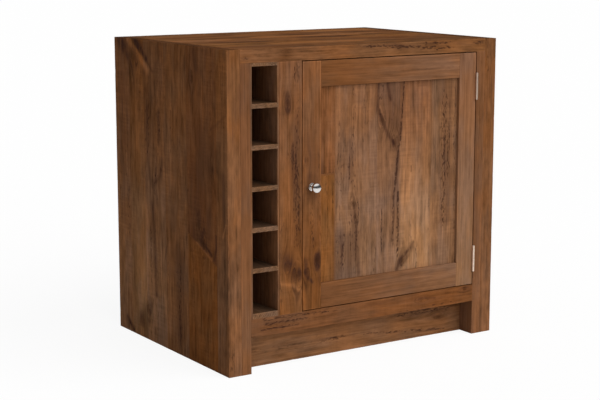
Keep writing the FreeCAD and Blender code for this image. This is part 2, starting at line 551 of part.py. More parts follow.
# Magnetic catch under the top, and its strike plate on the back of the door.
ear_under = "catch_height - catch_ear_thickness"
half_block, half_catch = "(catch_block / 2)", "(catch_block / 2 + catch_ear)"
housing = board("catch_housing", (CATCH_X, CATCH_FRONT, f"{UNDER_TOP} - catch_height"),
                [(f"-{half_block}", 0), (half_block, 0), (half_block, ear_under), (half_catch, ear_under),
                 (half_catch, "catch_height"), (f"-{half_catch}", "catch_height"),
                 (f"-{half_catch}", ear_under), (f"-{half_block}", ear_under)],
                "Y", "catch_depth", eased=False)
magnet_low = "(catch_height - magnet_height) / 2"
block(housing, "Subtractive", ("-magnet_width / 2", 0, magnet_low),
      ("magnet_width", "magnet_depth", "magnet_height"))
hole = screw_hole(housing, "+Z", (f"-{EAR_SCREW}", "catch_depth / 2", ear_under), "catch_ear_thickness")
repeat(housing, hole, ("YZ",))
board("catch_magnet",
      (CATCH_X, f"{CATCH_FRONT} - magnet_proud", f"{UNDER_TOP} - catch_height + {magnet_low}"),
      rectangle("magnet_width", "magnet_height", "-magnet_width / 2"), "Y", "magnet_depth + magnet_proud",
      eased=False)
screws = new_body("catch_screws",
                  (CATCH_X, f"{CATCH_FRONT} + catch_depth / 2", f"{UNDER_TOP} - catch_ear_thickness"))
repeat(screws, screw(screws, "+Z", (f"-{EAR_SCREW}", 0, 0), "screw_length"), ("YZ",))

strike_low = f"({DOOR_BOTTOM} + {DOOR_HEIGHT} - strike_inset - strike_height)"
strike = board("catch_strike_plate", (CATCH_X, DOOR_BACK, strike_low),
               rectangle("strike_width", "strike_thickness", "-strike_width / 2"), "Z", "strike_height",
               eased=False)
hole = screw_hole(strike, "-Y", (f"-{STRIKE_SCREW}", "strike_thickness", "strike_height / 2"),
                  "strike_thickness")
repeat(strike, hole, ("YZ",))
screws = new_body("strike_plate_screws", (CATCH_X, f"{DOOR_BACK} + strike_thickness",
                                          f"{strike_low} + strike_height / 2"))
repeat(screws, screw(screws, "-Y", (f"-{STRIKE_SCREW}", 0, 0), "screw_length"), ("YZ",))
for offset in (f"-{STRIKE_SCREW}", STRIKE_SCREW):
    pilot_hole(top_rail, "-Y", (f"{CATCH_X} - {DOOR_LEFT} - door_stile_width + {offset}", "door_thickness",
                                "door_rail_width - strike_inset - strike_height / 2"),
               "screw_length - strike_thickness")

doc.recompute()
broken = [item.Label for item in doc.Objects if {"Invalid", "Error"} & set(item.State)]
if broken:
    raise RuntimeError(f"not built: {broken}")
for body in subparts:
    if body.Shape.isNull() or not body.Shape.isValid():
        raise RuntimeError(f"no valid solid in {body.Label}")
    body.Shape.exportStep(f"parts/{body.Label}.step")
print(len(subparts), "sub-parts written")
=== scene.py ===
import json
import logging
import math
from dataclasses import dataclass, field, replace
from enum import Enum
from typing import Any, Sequence

import bmesh
import bpy
import numpy as np
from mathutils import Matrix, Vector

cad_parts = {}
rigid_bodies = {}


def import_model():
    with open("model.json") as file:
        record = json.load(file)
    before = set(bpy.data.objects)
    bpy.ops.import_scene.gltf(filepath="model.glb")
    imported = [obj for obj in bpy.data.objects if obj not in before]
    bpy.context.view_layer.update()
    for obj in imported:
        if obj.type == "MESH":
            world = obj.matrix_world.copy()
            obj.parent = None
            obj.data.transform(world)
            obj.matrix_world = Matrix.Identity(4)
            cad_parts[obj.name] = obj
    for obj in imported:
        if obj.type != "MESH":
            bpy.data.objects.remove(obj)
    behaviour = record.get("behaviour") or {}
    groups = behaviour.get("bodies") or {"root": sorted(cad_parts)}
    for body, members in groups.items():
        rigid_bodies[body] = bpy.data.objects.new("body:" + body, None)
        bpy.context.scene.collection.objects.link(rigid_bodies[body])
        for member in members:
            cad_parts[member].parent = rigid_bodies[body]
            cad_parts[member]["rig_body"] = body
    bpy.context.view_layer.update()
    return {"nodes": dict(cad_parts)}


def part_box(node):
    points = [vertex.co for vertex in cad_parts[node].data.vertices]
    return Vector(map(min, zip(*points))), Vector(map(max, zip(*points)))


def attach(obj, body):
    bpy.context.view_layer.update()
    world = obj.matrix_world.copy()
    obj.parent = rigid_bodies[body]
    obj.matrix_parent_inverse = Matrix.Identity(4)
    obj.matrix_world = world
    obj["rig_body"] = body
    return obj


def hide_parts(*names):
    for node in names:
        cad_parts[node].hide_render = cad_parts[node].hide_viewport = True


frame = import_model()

# Looks of a rustic pine base cabinet with a bottle rack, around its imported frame.
# Metres. X runs right along the front, Y from the front to the back, Z up from the floor.

MM = 0.001
log = logging.getLogger("base_cabinet")

Colour = tuple[float, float, float]
Band = tuple[float, float, float]
Operand = "Sock | float"


class Axis(Enum):
    """A direction of the frame, by its place in a point."""

    X = 0
    Y = 1
    Z = 2

    @property
    def others(self) -> list[int]:
        """Places of the two other axes in a point."""
        return [axis.value for axis in Axis if axis is not self]


class Side(Enum):
    """A side of a board's section: a face that looks along its depth, or an edge across its width."""

    LOW_FACE = 0
    HIGH_EDGE = 1
    HIGH_FACE = 2
    LOW_EDGE = 3


def stain(red: int, green: int, blue: int) -> Colour:
    """Gives the linear colour of a tone that is written as it looks on a screen.

    Args:
        red: Red share, 0 to 255.
        green: Green share, 0 to 255.
        blue: Blue share, 0 to 255.

    Returns:
        The colour that a shader takes.
    """
    shares = np.array([red, green, blue]) / 255
    linear = np.where(shares <= 0.04045, shares / 12.92, ((shares + 0.055) / 1.055) ** 2.4)
    return tuple(float(share) for share in linear)


class Sock:
    """One number of a node tree; the operators on it add the Math nodes that work it out."""

    def __init__(self, tree: "Recipe", socket: bpy.types.NodeSocket) -> None:
        """Wraps an output socket of a recipe's node tree."""
        self.tree = tree
        self.socket = socket

    def maths(self, operation: str, *others: Operand, first: float | None = None) -> "Sock":
        """Adds one Math node.

        Args:
            operation: The node's operation.
            others: The values that follow this one.
            first: A number that goes before this value, for reflected operators.

        Returns:
            The node's result.
        """
        values = (self, *others) if first is None else (first, self, *others)
        return self.tree.add("ShaderNodeMath", {"operation": operation}, dict(enumerate(values)))

    def __add__(self, other: Operand) -> "Sock":
        """Sum."""
        return self.maths("ADD", other)

    def __sub__(self, other: Operand) -> "Sock":
        """Difference."""
        return self.maths("SUBTRACT", other)

    def __rsub__(self, other: float) -> "Sock":
        """A number less this value."""
        return self.maths("SUBTRACT", first=other)

    def __mul__(self, other: Operand) -> "Sock":
        """Product."""
        return self.maths("MULTIPLY", other)

    def __truediv__(self, other: Operand) -> "Sock":
        """Quotient."""
        return self.maths("DIVIDE", other)

    def __rtruediv__(self, other: float) -> "Sock":
        """A number divided by this value."""
        return self.maths("DIVIDE", first=other)

    def __pow__(self, other: Operand) -> "Sock":
        """Power."""
        return self.maths("POWER", other)

    def __abs__(self) -> "Sock":
        """Size without its sign."""
        return self.maths("ABSOLUTE")

    __radd__ = __add__
    __rmul__ = __mul__

    def root(self) -> "Sock":
        """Square root."""
        return self.maths("SQRT")

    def part(self) -> "Sock":
        """What is left after the whole number."""
        return self.maths("FRACT")

    def wave(self) -> "Sock":
        """Sine."""
        return self.maths("SINE")

    def lesser(self, other: Operand) -> "Sock":
        """The smaller of two values."""
        return self.maths("MINIMUM", other)

    def greater(self, other: Operand) -> "Sock":
        """The larger of two values."""
        return self.maths("MAXIMUM", other)

    def past(self, limit: float) -> "Sock":
        """One where the value is over a limit, and zero elsewhere."""
        return self.maths("GREATER_THAN", limit)

    def hill(self, width: float) -> "Sock":
        """A soft bump that is one where the value is zero and fades within a width."""
        return 1 / (1 + (self / width) ** 2)

    def rise(self, low: float, high: float, to_low: float = 0.0, to_high: float = 1.0) -> "Sock":
        """Smooth step of the value.

        Args:
            low: Where the step starts.
            high: Where it ends.
            to_low: The result before the step.
            to_high: The result after it.

        Returns:
            The stepped value.
        """
        settings = {"interpolation_type": "SMOOTHSTEP"}
        inputs = {0: self, 1: low, 2: high, 3: to_low, 4: to_high}
        return self.tree.add("ShaderNodeMapRange", settings, inputs)


class Recipe:
    """The node tree of a material or a world, with the few moves that the finishes are written in."""

    def __init__(self, name: str, store: Any = None) -> None:
        """Starts an empty tree.

        Args:
            name: The name of the material or world.
            store: Where it is kept: the file's materials, or its worlds.
        """
        self.owner = (bpy.data.materials if store is None else store).new(name)
        self.owner.use_nodes = True
        self.nodes = self.owner.node_tree.nodes
        self.links = self.owner.node_tree.links
        self.nodes.clear()
        self._coordinates = self.make("ShaderNodeTexCoord")

    def make(self, kind: str, settings: dict[str, Any] | None = None,
             inputs: dict[int | str, Any] | None = None) -> bpy.types.Node:
        """Adds any node.

        Args:
            kind: The node's type.
            settings: Its properties, which are set first.
            inputs: Values or links of its sockets, by number or name.

        Returns:
            The node.
        """
        node = self.nodes.new(kind)
        for key, setting in (settings or {}).items():
            setattr(node, key, setting)
        for key, value in (inputs or {}).items():
            if isinstance(value, Sock):
                self.links.new(value.socket, node.inputs[key])
            elif isinstance(value, tuple) and node.inputs[key].type == "RGBA":
                node.inputs[key].default_value = (*value, 1.0)
            else:
                node.inputs[key].default_value = value
        return node

    def add(self, kind: str, settings: dict[str, Any] | None = None,
            inputs: dict[int | str, Any] | None = None, output: int | str = 0) -> Sock:
        """Adds any node, as make does, and gives one of its outputs."""
        return Sock(self, self.make(kind, settings, inputs).outputs[output])

    def coordinates(self) -> list[Sock]:
        """The object's own X, Y and Z at the shaded point."""
        return self.parts("Object")

    def parts(self, coordinate: str) -> list[Sock]:
        """The three numbers of one of the surface's coordinates."""
        vector = Sock(self, self._coordinates.outputs[coordinate])
        parted = self.make("ShaderNodeSeparateXYZ", inputs={0: vector})
        return [Sock(self, output) for output in parted.outputs]

    def mark(self, name: str) -> Sock:
        """A number that the piece's own points carry."""
        return self.add("ShaderNodeAttribute", {"attribute_name": name}, output="Fac")

    def facing(self, axis: Axis) -> Sock:
        """How squarely the surface looks along an axis, 0 to 1."""
        return abs(self.parts("Normal")[axis.value])

    def point(self, x: Operand, y: Operand, z: Operand) -> Sock:
        """Joins three values to a point."""
        return self.add("ShaderNodeCombineXYZ", inputs={0: x, 1: y, 2: z})

    def noise(self, place: Sock, detail: float = 2.0, roughness: float = 0.5) -> Sock:
        """Cloudy noise about 0.5 with one cloud to a unit of the place given."""
        return self.add("ShaderNodeTexNoise", {"noise_dimensions": "3D"},
                        {"Vector": place, "Scale": 1.0, "Detail": detail, "Roughness": roughness})

    def clouds(self, rate: float, detail: float, roughness: float) -> Sock:
        """Noise about 0.5 with as many clouds to a metre as the rate says, whatever the direction."""
        return self.noise(self.point(*(axis * rate for axis in self.coordinates())), detail, roughness)

    def blend(self, factor: Operand, start: Sock | Colour, end: Sock | Colour, mode: str = "MIX") -> Sock:
        """Mixes two colours.

        Args:
            factor: Share of the second colour.
            start: The first colour.
            end: The second colour.
            mode: The Mix node's way of mixing.

        Returns:
            The mixed colour.
        """
        settings = {"data_type": "RGBA", "blend_type": mode, "clamp_factor": True}
        return self.add("ShaderNodeMix", settings, {0: factor, 6: start, 7: end}, 2)

    def brighten(self, colour: Sock, factor: Sock) -> Sock:
        """Multiplies a colour by a number."""
        return self.add("ShaderNodeVectorMath", {"operation": "SCALE"}, {0: colour, "Scale": factor})

    def relief(self, height: Sock, distance: float, strength: float) -> Sock:
        """Turns a height of 0 to 1 into a bumped normal, the distance being the depth of 1."""
        inputs = {"Strength": strength, "Distance": distance, "Height": height}
        return self.add("ShaderNodeBump", inputs=inputs)

    def surface(self, **inputs: Any) -> bpy.types.Material:
        """Ends the tree in a principled shader.

        Args:
            inputs: Its sockets by name, with _ for a blank.

        Returns:
            The finished material.
        """
        named = {key.replace("_", " "): value for key, value in inputs.items()}
        shader = self.make("ShaderNodeBsdfPrincipled", inputs=named)
        output = self.make("ShaderNodeOutputMaterial")
        self.links.new(shader.outputs[0], output.inputs[0])
        return self.owner


@dataclass(frozen=True)
class Knot:
    """A knot in a board's main face, that the grain flows round."""

    along: float
    across: float
    radius: float
    dark: float = 0.8


@dataclass(frozen=True)
class Plank:
    """One of the planks that a wide board is glued up from; it starts at a line across the board.

    Where butt is set, another length of plank, in the tone below, meets this one end to end at that place
    along the grain, and the stain lies dark over the joint, by the share smudge. The joint climbs by slant
    for each metre across. soft is how far the tone takes to change at the plank's edge.
    """

    start: float
    low_tone: Colour
    high_tone: Colour
    butt: float = 0.0
    below: Colour = (0.0, 0.0, 0.0)
    smudge: float = 0.7
    soft: float = 6 * MM
    slant: float = 0.0


@dataclass(frozen=True)
class Scale:
    """A noise in wood: clouds to a metre along and across the grain, detail, roughness, shift into the tree.

    light is how strongly it lightens and darkens the stain.
    """

    along: float
    across: float
    detail: float = 2.0
    roughness: float = 0.5
    shift: float = 0.0
    light: float = 0.0


@dataclass(frozen=True)
class Pine:
    """Rough-sawn knotty pine with a brown stain and wax.

    The rings are distances from a heart line beside the board, the stain lies in soft bands along the grain,
    and dark streaks, specks and saw marks lie over it. low_tone and high_tone are the tones at the board's
    two ends along the grain, lively is the strength of the stain's clouds, and worn that of a painted
    highlight along the arrises, partly rubbed wear. Behind its front the wood of the rack is darker by the
    share of painted depth shading, which stands for the shade inside the slots, or lighter, as painted
    light, where that share is negative.
    """

    grain: Axis
    depth: Axis
    low_tone: Colour = stain(122, 80, 50)
    high_tone: Colour = stain(122, 80, 50)
    seed: float = 0.0
    rings: float = 0.5
    streaks: float = 0.5
    specks: float = 0.4
    sawn: float = 0.4
    # Strength of a painted highlight along the arrises, partly rubbed wear.
    worn: float = 0.12
    lively: float = 1.0
    # Painted shade inside the rack's slots behind the front, as a share; negative for painted light.
    painted_depth_shading: float = 0.0
    heart: tuple[float, float] = (0.09, 0.06)
    knots: tuple[Knot, ...] = ()
    planks: tuple[Plank, ...] = ()

    RING_WIDTH = 0.0058
    STAIN_DARK = stain(64, 40, 31)
    # Dark of pitch at the knots' rims and specks, and of painted shade in the splits.
    PITCH_AND_SHADE_DARK = stain(44, 26, 23)
    KNOT_DARK = stain(58, 34, 21)
    WARM = (1.07, 1.0, 0.88)
    COOL = (0.95, 0.99, 1.06)
    WANDER = Scale(1.6, 7.0)
    RIPPLE = Scale(3.0, 90.0)
    BAND = Scale(1.3, 26.0, light=0.35)
    VEIN = Scale(4.6, 92.0, 4.0, 0.62, light=0.75)
    MOTTLE = Scale(24.0, 75.0, 3.0, 0.6, light=0.9)
    THREAD = Scale(5.0, 190.0, 2.0, 0.6, light=0.9)
    FIBRE = Scale(16.0, 600.0, 2.0, 0.6, light=0.45)
    HUE = Scale(8.0, 18.0)
    CLOUD = Scale(4.2, 12.0, 3.0, 0.55, light=0.9)
    SPECK = Scale(62.0, 200.0, 1.0)
    COLUMN = Scale(2.4, 34.0, 1.0, shift=9.0)
    CHATTER = Scale(170.0, 12.0, 1.0, light=0.6)

    EVEN_LIGHT = 1.04
    FACED = (0.6, 0.8)
    DULL = 0.68
    SHINE = 0.006
    TOOTH = 0.5 * MM
    KNOT_STRETCH = 2.4
    CORE_STRETCH = 1.3
    GLUE_LINE = 0.5 * MM
    BUTT_SOFT = 4 * MM
    BUTT_SHIFT = 0.23
    SMUDGE_REACH = 75 * MM
    PAST_BOARDS = 9.0
    ARRIS = 4.5 * MM
    # Where the painted shade of the rack starts behind the front, and how far it takes to fade in.
    SHADE_START = 1 * MM
    SHADE_FADE = 5 * MM

    @property
    def width(self) -> Axis:
        """The axis across the board's main face."""
        return next(axis for axis in Axis if axis not in (self.grain, self.depth))

    def dress(self, name: str, low: np.ndarray, high: np.ndarray) -> bpy.types.Material:
        """Makes the material for one board.

        Args:
            name: The material's name.
            low: The board's lowest corner.
            high: Its highest corner.

        Returns:
            The material.
        """
        tree = Recipe(name)
        place = tree.coordinates()
        along, across, deep = (place[axis.value] for axis in (self.grain, self.width, self.depth))
        middle = (low + high) / 2
        soiled, split, figure = (tree.mark(key) for key in ("soiled", "split", "figure"))

        flow, core, halo, rim = self.flow_round_knots(tree, along, across, deep)
        tone, shift, joints, smudge = self.glued_planks(tree, along, across, low, high)
        layer = deep + shift

        def lie(scale: Scale, off: Sock) -> Sock:
            """Noise of a scale about 0.5, at the place across the grain that is given."""
            into = layer * scale.across + scale.shift
            return tree.noise(tree.point(along * scale.along, off * scale.across, into), scale.detail,
                              scale.roughness)

        from_heart = flow + lie(self.WANDER, flow) * 0.05 - (middle[self.width.value] + self.heart[0])
        under_face = layer - (middle[self.depth.value] + self.heart[1])
        ring = (from_heart * from_heart + under_face * under_face).root() / self.RING_WIDTH
        late = (ring + lie(self.RIPPLE, flow) * 2.6 + along * 0.7).part()
        late = late.rise(0.1, 0.85) * late.rise(0.88, 1.0, 1.0, 0.0)

        scales = (self.BAND, self.VEIN, self.MOTTLE, self.THREAD, self.FIBRE)
        band, vein, mottle, thread, fibre = (lie(scale, flow) - 0.5 for scale in scales)
        hue, cloud = (lie(scale, across) - 0.5 for scale in (self.HUE, self.CLOUD))
        heavy = (cloud.rise(0.0, 0.2) * self.streaks).greater(soiled).greater(smudge).greater(halo)
        streak = vein.rise(-0.05, 0.16) * heavy
        column = lie(self.COLUMN, flow).rise(0.56, 0.66) * self.specks
        speck = lie(self.SPECK, flow).rise(0.57, 0.66) * column.greater(soiled * 0.9)
        main_face = tree.facing(self.depth).rise(*self.FACED)
        chatter = (lie(self.CHATTER, across) - 0.5) * cloud.rise(-0.1, 0.12) * main_face * self.sawn

        warm, cool = (tree.blend(1.0, tone, tint, "MULTIPLY") for tint in (self.WARM, self.COOL))
        colour = tree.blend((hue * 1.5 + vein * 0.6).rise(-0.25, 0.25), warm, cool)
        dim = late * (0.2 * self.rings) * (1 + halo * 4.0)
        dim = dim + smudge * 0.28 + figure.lesser(0.0) * 0.6
        figured = vein * self.VEIN.light + mottle * self.MOTTLE.light + cloud * self.CLOUD.light
        lines = thread * self.THREAD.light + fibre * self.FIBRE.light + band * self.BAND.light
        light = self.EVEN_LIGHT + figured * self.lively + lines + chatter * self.CHATTER.light - dim
        colour = tree.brighten(colour, light)
        flamed = figure.greater(0.0) * (vein * 1.4 + mottle * 1.8 + 0.68)
        # The splits darken with their depth: painted shade in the pits, together with dark stain.
        split = split.rise(0.1, 0.7) * (fibre * 1.4 + 0.75).lesser(1.0)
        coats = ((streak * (mottle + 0.72), self.STAIN_DARK), (flamed, self.STAIN_DARK),
                 (core, self.KNOT_DARK), (rim, self.PITCH_AND_SHADE_DARK), (speck * 0.8, self.PITCH_AND_SHADE_DARK),
                 (joints * 0.16, self.STAIN_DARK), (split * 0.88, self.PITCH_AND_SHADE_DARK))
        for share, dark in coats:
            colour = tree.blend(share, colour, dark)

        end_grain = tree.facing(self.grain).rise(*self.FACED)
        colour = tree.brighten(colour, 1 - end_grain * (0.3 + late * 0.2))
        # Painted highlight along the arrises, broken up by the clouds, partly rubbed wear.
        worn = self.arris(place, low, high) * cloud.rise(-0.2, 0.1, 0.3, 1.0)
        colour = tree.brighten(colour, 1 + worn * self.worn)
        # Painted shade inside the rack's slots: darker behind the front edge, or painted light where the
        # share is negative.
        if self.painted_depth_shading:
            front = float(low[Axis.Y.value]) + self.SHADE_START
            behind = place[Axis.Y.value].rise(front, front + self.SHADE_FADE, 1.0, 1.0 - self.painted_depth_shading)
            colour = tree.brighten(colour, behind)

        height = fibre * 0.6 + vein * 0.5 - late * (0.3 * self.rings)
        height = height + chatter * 0.8 - streak * 0.3 - speck * 0.8
        dull = self.DULL + fibre * 0.2 + streak * 0.15 - worn * 0.1
        return tree.surface(Base_Color=colour, Roughness=dull, Specular_IOR_Level=self.SHINE,
                            Normal=tree.relief(height, self.TOOTH, 0.5))

    def flow_round_knots(self, tree: Recipe, along: Sock, across: Sock, deep: Sock) -> tuple[Sock, ...]:
        """Bends the grain round the knots, as water flows round a post.

        A line at an offset from the knot moves to the offset times one less the squared radius over the
        squared distance, with distances along the grain counted short.

        Args:
            tree: The recipe.
            along: Place along the grain.
            across: Place across it.
            deep: Place through the board.

        Returns:
            The bent place across the grain, and the shares of the knots' cores, of the stain round them and
            of their dark rims.
        """
        nothing = along * 0.0
        flow, core, halo, rim = across, nothing, nothing, nothing
        if not self.knots:
            return flow, core, halo, rim
        rough = tree.noise(tree.point(along * 45.0, across * 90.0, deep * 20.0), 3.0, 0.65) - 0.5
        for knot in self.knots:
            run, off = along - knot.along, across - knot.across
            stretched = (run / self.KNOT_STRETCH) ** 2.0 + off * off
            flow = flow - off * (knot.radius**2 * 2.0) / (stretched + knot.radius**2 * 0.6)
            reach = ((run / self.CORE_STRETCH) ** 2.0 + off * off).root() / knot.radius + rough * 1.5
            growth = (reach * 13.0).wave() * 0.2 + 0.75
            core = core + reach.rise(0.25, 0.95, 1.0, 0.0) * growth * (0.85 * knot.dark)
            around = (stretched.root() / knot.radius + rough * 1.5).rise(0.4, 3.2, 1.0, 0.0)
            halo = halo.greater(around * knot.dark)
            rim = rim + (reach - 0.9).hill(0.14) * (rough * 2.0 + 0.45) * (0.7 * knot.dark)
        return flow, core, halo, rim

    def glued_planks(self, tree: Recipe, along: Sock, across: Sock, low: np.ndarray,
                     high: np.ndarray) -> tuple[Sock, ...]:
        """Gives each plank of a wide board its own tone and its own place in the tree.

        Args:
            tree: The recipe.
            along: Place along the grain.
            across: Place across it.
            low: The board's lowest corner.
            high: Its highest corner.

        Returns:
            The tone, the shift of the grain into the tree, and the shares of the glue lines and of the stain
            that lies over the joints from end to end.
        """
        start, end = low[self.grain.value], high[self.grain.value]
        upward = along.rise(float(start), float(end))
        tone = tree.blend(upward, self.low_tone, self.high_tone)
        shift, joints, smudge = along * 0.0 + self.seed, along * 0.0, along * 0.0
        for number, plank in enumerate(self.planks, 1):
            inside = across.past(plank.start)
            soft = across.rise(plank.start - plank.soft, plank.start + plank.soft)
            tone = tree.blend(soft, tone, tree.blend(upward, plank.low_tone, plank.high_tone))
            shift = shift + inside * (0.37 * (-1) ** number + 0.11 * number)
            joints = joints + (across - plank.start).hill(self.GLUE_LINE)
            if plank.butt:
                following = self.planks[number].start if number < len(self.planks) else self.PAST_BOARDS
                here = inside - across.past(following)
                fading_in = soft - across.rise(following - plank.soft, following + plank.soft)
                line = along - (across - plank.start) * plank.slant
                lower = line.rise(plank.butt - self.BUTT_SOFT, plank.butt + self.BUTT_SOFT, 1.0, 0.0)
                tone = tree.blend(here * lower, tone, plank.below)
                shift = shift + here * lower * self.BUTT_SHIFT
                fading = line.rise(plank.butt, plank.butt + self.SMUDGE_REACH, 1.0, 0.0)
                smudge = smudge + fading_in * (1 - lower) * fading * plank.smudge
        return tone, shift, joints, smudge

    def arris(self, place: Sequence[Sock], low: np.ndarray, high: np.ndarray) -> Sock:
        """Marks the board's arrises: where the second nearest of its faces is close by.

        Args:
            place: The object's X, Y and Z.
            low: The board's lowest corner.
            high: Its highest corner.

        Returns:
            One on the arrises, fading to zero within a few millimetres.
        """
        middle, half = (low + high) / 2, (high - low) / 2
        x, y, z = (float(half[k]) - abs(place[k] - float(middle[k])) for k in range(3))
        second = x.lesser(y).greater(x.greater(y).lesser(z))
        return second.rise(0.0, self.ARRIS, 1.0, 0.0)


@dataclass(frozen=True)
class Metal:
    """Plated or polished metal with fine scratches and duller, fingered patches."""

    colour: Colour
    roughness: float
    patchy: float
    scratch: float
    grain: Axis = Axis.Z

    SCRATCH_LONG = 90.0
    SCRATCH_FINE = 2600.0
    PATCH = 160.0

    def dress(self, name: str) -> bpy.types.Material:
        """Makes the material.

        Args:
            name: The material's name.

        Returns:
            The material.
        """
        tree = Recipe(name)
        rates = (self.SCRATCH_LONG if axis is self.grain else self.SCRATCH_FINE for axis in Axis)
        lines = tree.point(*(place * rate for place, rate in zip(tree.coordinates(), rates)))
        brushed = tree.noise(lines, 2.0, 0.6)
        cloud = tree.clouds(self.PATCH, 3.0, 0.55)
        worn = cloud.rise(0.42, 0.68) * self.patchy
        darker = tuple(0.55 * share for share in self.colour)
        colour = tree.blend(worn * 0.8, self.colour, darker)
        colour = tree.brighten(colour, 0.92 + brushed * 0.16)
        dull = self.roughness + worn * 0.22 + brushed * (0.12 * self.scratch)
        return tree.surface(Base_Color=colour, Metallic=1.0, Roughness=dull,
                            Normal=tree.relief(brushed * self.scratch + cloud * 0.2, 0.04 * MM, 0.4))


@dataclass(frozen=True)
class Moulded:
    """Moulded plastic, rubber or pressed ferrite with a fine skin and a little dust."""

    colour: Colour
    roughness: float
    skin: float

    FINE = 1900.0
    DUST = 130.0

    def dress(self, name: str) -> bpy.types.Material:
        """Makes the material.

        Args:
            name: The material's name.

        Returns:
            The material.
        """
        tree = Recipe(name)
        skin = tree.clouds(self.FINE, 2.0, 0.6)
        dust = tree.clouds(self.DUST, 3.0, 0.55).rise(0.45, 0.75)
        pale = tuple(min(1.0, 0.75 * share + 0.12) for share in self.colour)
        colour = tree.brighten(tree.blend(dust * 0.35, self.colour, pale), 0.86 + skin * 0.28)
        return tree.surface(Base_Color=colour, Roughness=self.roughness + dust * 0.15 + skin * 0.06,
                            Normal=tree.relief(skin, 0.06 * MM, self.skin))


def new_piece(name: str, points: np.ndarray, faces: Sequence[Sequence[int]], sharp: float = 40.0,
              marks: dict[str, np.ndarray] | None = None) -> bpy.types.Object:
    """Puts points and faces into a mesh object at the origin, closed and facing outwards.

    Args:
        name: The piece's name.
        points: Its points, one row each.
        faces: Its faces, as rows of point numbers.
        sharp: Angle between faces, in degrees, over which an edge stays crisp.
        marks: Attributes that the finish reads, each a number per point.

    Returns:
        The object, in the scene.
    """
    mesh = bpy.data.meshes.new(name)
    mesh.from_pydata(points, [], faces)
    for key, values in (marks or {}).items():
        layer = mesh.attributes.new(key, "FLOAT", "POINT")
        layer.data.foreach_set("value", values.ravel().astype(np.float32))
    work = bmesh.new()
    work.from_mesh(mesh)
    bmesh.ops.remove_doubles(work, verts=work.verts, dist=2e-6)
    bmesh.ops.recalc_face_normals(work, faces=work.faces)
    work.to_mesh(mesh)
    work.free()
    mesh.polygons.foreach_set("use_smooth", np.ones(len(mesh.polygons), bool))
    mesh.set_sharp_from_angle(angle=math.radians(sharp))
    piece = bpy.data.objects.new(name, mesh)
    bpy.context.scene.collection.objects.link(piece)
    return piece


def ring_faces(shape: tuple[int, ...]) -> list[list[int]]:
    """Joins rings of points that are numbered in order, each ring closed on itself.

    Args:
        shape: Shape of the points' array; the last axis runs round a ring, the one before from ring to ring.

    Returns:
        The faces, as rows of point numbers.
    """
    at = np.arange(math.prod(shape)).reshape(shape)
    beside = np.roll(at, -1, axis=-1)
    sides = [at[..., :-1, :], beside[..., :-1, :], beside[..., 1:, :], at[..., 1:, :]]
    return np.stack(sides, -1).reshape(-1, 4).tolist()


def settle(piece: bpy.types.Object, node: str, material: bpy.types.Material) -> None:
    """Hands a piece its finish and lets it stand for a node, on that node's body.

    Args:
        piece: The new piece.
        node: The node that it stands for.
        material: Its finish.
    """
    piece.data.materials.append(material)
    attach(piece, frame["nodes"][node]["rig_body"])
    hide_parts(node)
    log.info("%s stands for %s with %d faces", piece.name, node, len(piece.data.polygons))


def coat(node: str, material: bpy.types.Material) -> None:
    """Gives a node that keeps its own shape its finish."""
    piece = frame["nodes"][node]
    if not piece.material_slots:
        piece.data.materials.append(material)
    for slot in piece.material_slots:
        slot.material = material
    log.info("%s keeps its shape, finished in %s", node, material.name)


def corners(node: str) -> tuple[np.ndarray, np.ndarray]:
    """Lowest and highest corner of a node, as arrays."""
    low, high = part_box(node)
    return np.array(low), np.array(high)


@dataclass(frozen=True)
class Split:
    """A column of short open splits that run with the grain on one side of a board."""

    low: float
    high: float
    across: float
    lean: float = 0.0
    spread: float = 5 * MM
    count: int = 26
    length: float = 10 * MM
    width: float = 1.1 * MM
    depth: float = 0.65 * MM
    soil: float = 0.9
    side: Side = Side.LOW_FACE
    seed: int = 1

    FINE_ALONG = 3.6 * MM
    SOIL_REACH = 1.3
    END_FADE = 40 * MM

    def bands(self) -> tuple[Band, Band]:
        """Finds where the splits need closer grid lines.

        Returns:
            The stretch along and the stretch across the grain, each as low, high and spacing.
        """
        sway = abs(self.lean) * (self.high - self.low) / 2 + self.SOIL_REACH * self.spread + 2 * self.width
        return ((self.low - self.length, self.high + self.length, self.FINE_ALONG),
                (self.across - sway, self.across + sway, 0.9 * self.width))

    def marks(self) -> tuple[np.ndarray, ...]:
        """Places the single splits at random along the column.

        Returns:
            Their places along and across the grain, half lengths, half widths and depths.
        """
        chance = np.random.default_rng(self.seed)
        along = np.linspace(self.low, self.high, self.count) + chance.normal(0, self.length / 2, self.count)
        off = chance.normal(0, self.spread / 2, self.count)
        across = self.across + self.lean * (along - (self.low + self.high) / 2) + off
        length = self.length * chance.uniform(0.35, 1.2, self.count) / 2
        width = self.width * chance.uniform(0.6, 1.25, self.count)
        return along, across, length, width, self.depth * chance.uniform(0.4, 1.0, self.count)

    def opening(self, along: np.ndarray, across: np.ndarray) -> np.ndarray:
        """Depth of the splits over an array of points.

        Each split is a pit: its depth times e to the minus fourth power of the way along and square of the
        way across, both counted in its half length and half width.

        Args:
            along: Places along the grain.
            across: Places across it.

        Returns:
            The depth at each point.
        """
        total = np.zeros(np.broadcast(along, across).shape)
        for middle, line, length, width, depth in zip(*self.marks()):
            away = ((along - middle) / length) ** 4 + ((across - line) / width) ** 2
            total = np.maximum(total, depth * np.exp(-np.minimum(away, 50)))
        return total

    def soiling(self, along: np.ndarray, across: np.ndarray) -> np.ndarray:
        """Share of the dark stain that gathers in the column, over an array of points.

        It fades across as e to the minus square of the way from the column's line, and along at its ends.

        Args:
            along: Places along the grain.
            across: Places across it.

        Returns:
            The share at each point.
        """
        line = self.across + self.lean * (along - (self.low + self.high) / 2)
        inside = np.clip(np.minimum(along - self.low, self.high - along) / self.END_FADE + 0.5, 0, 1)
        away = (across - line) / (self.SOIL_REACH * self.spread + 1 * MM)
        return self.soil * inside * np.exp(-(away**2))


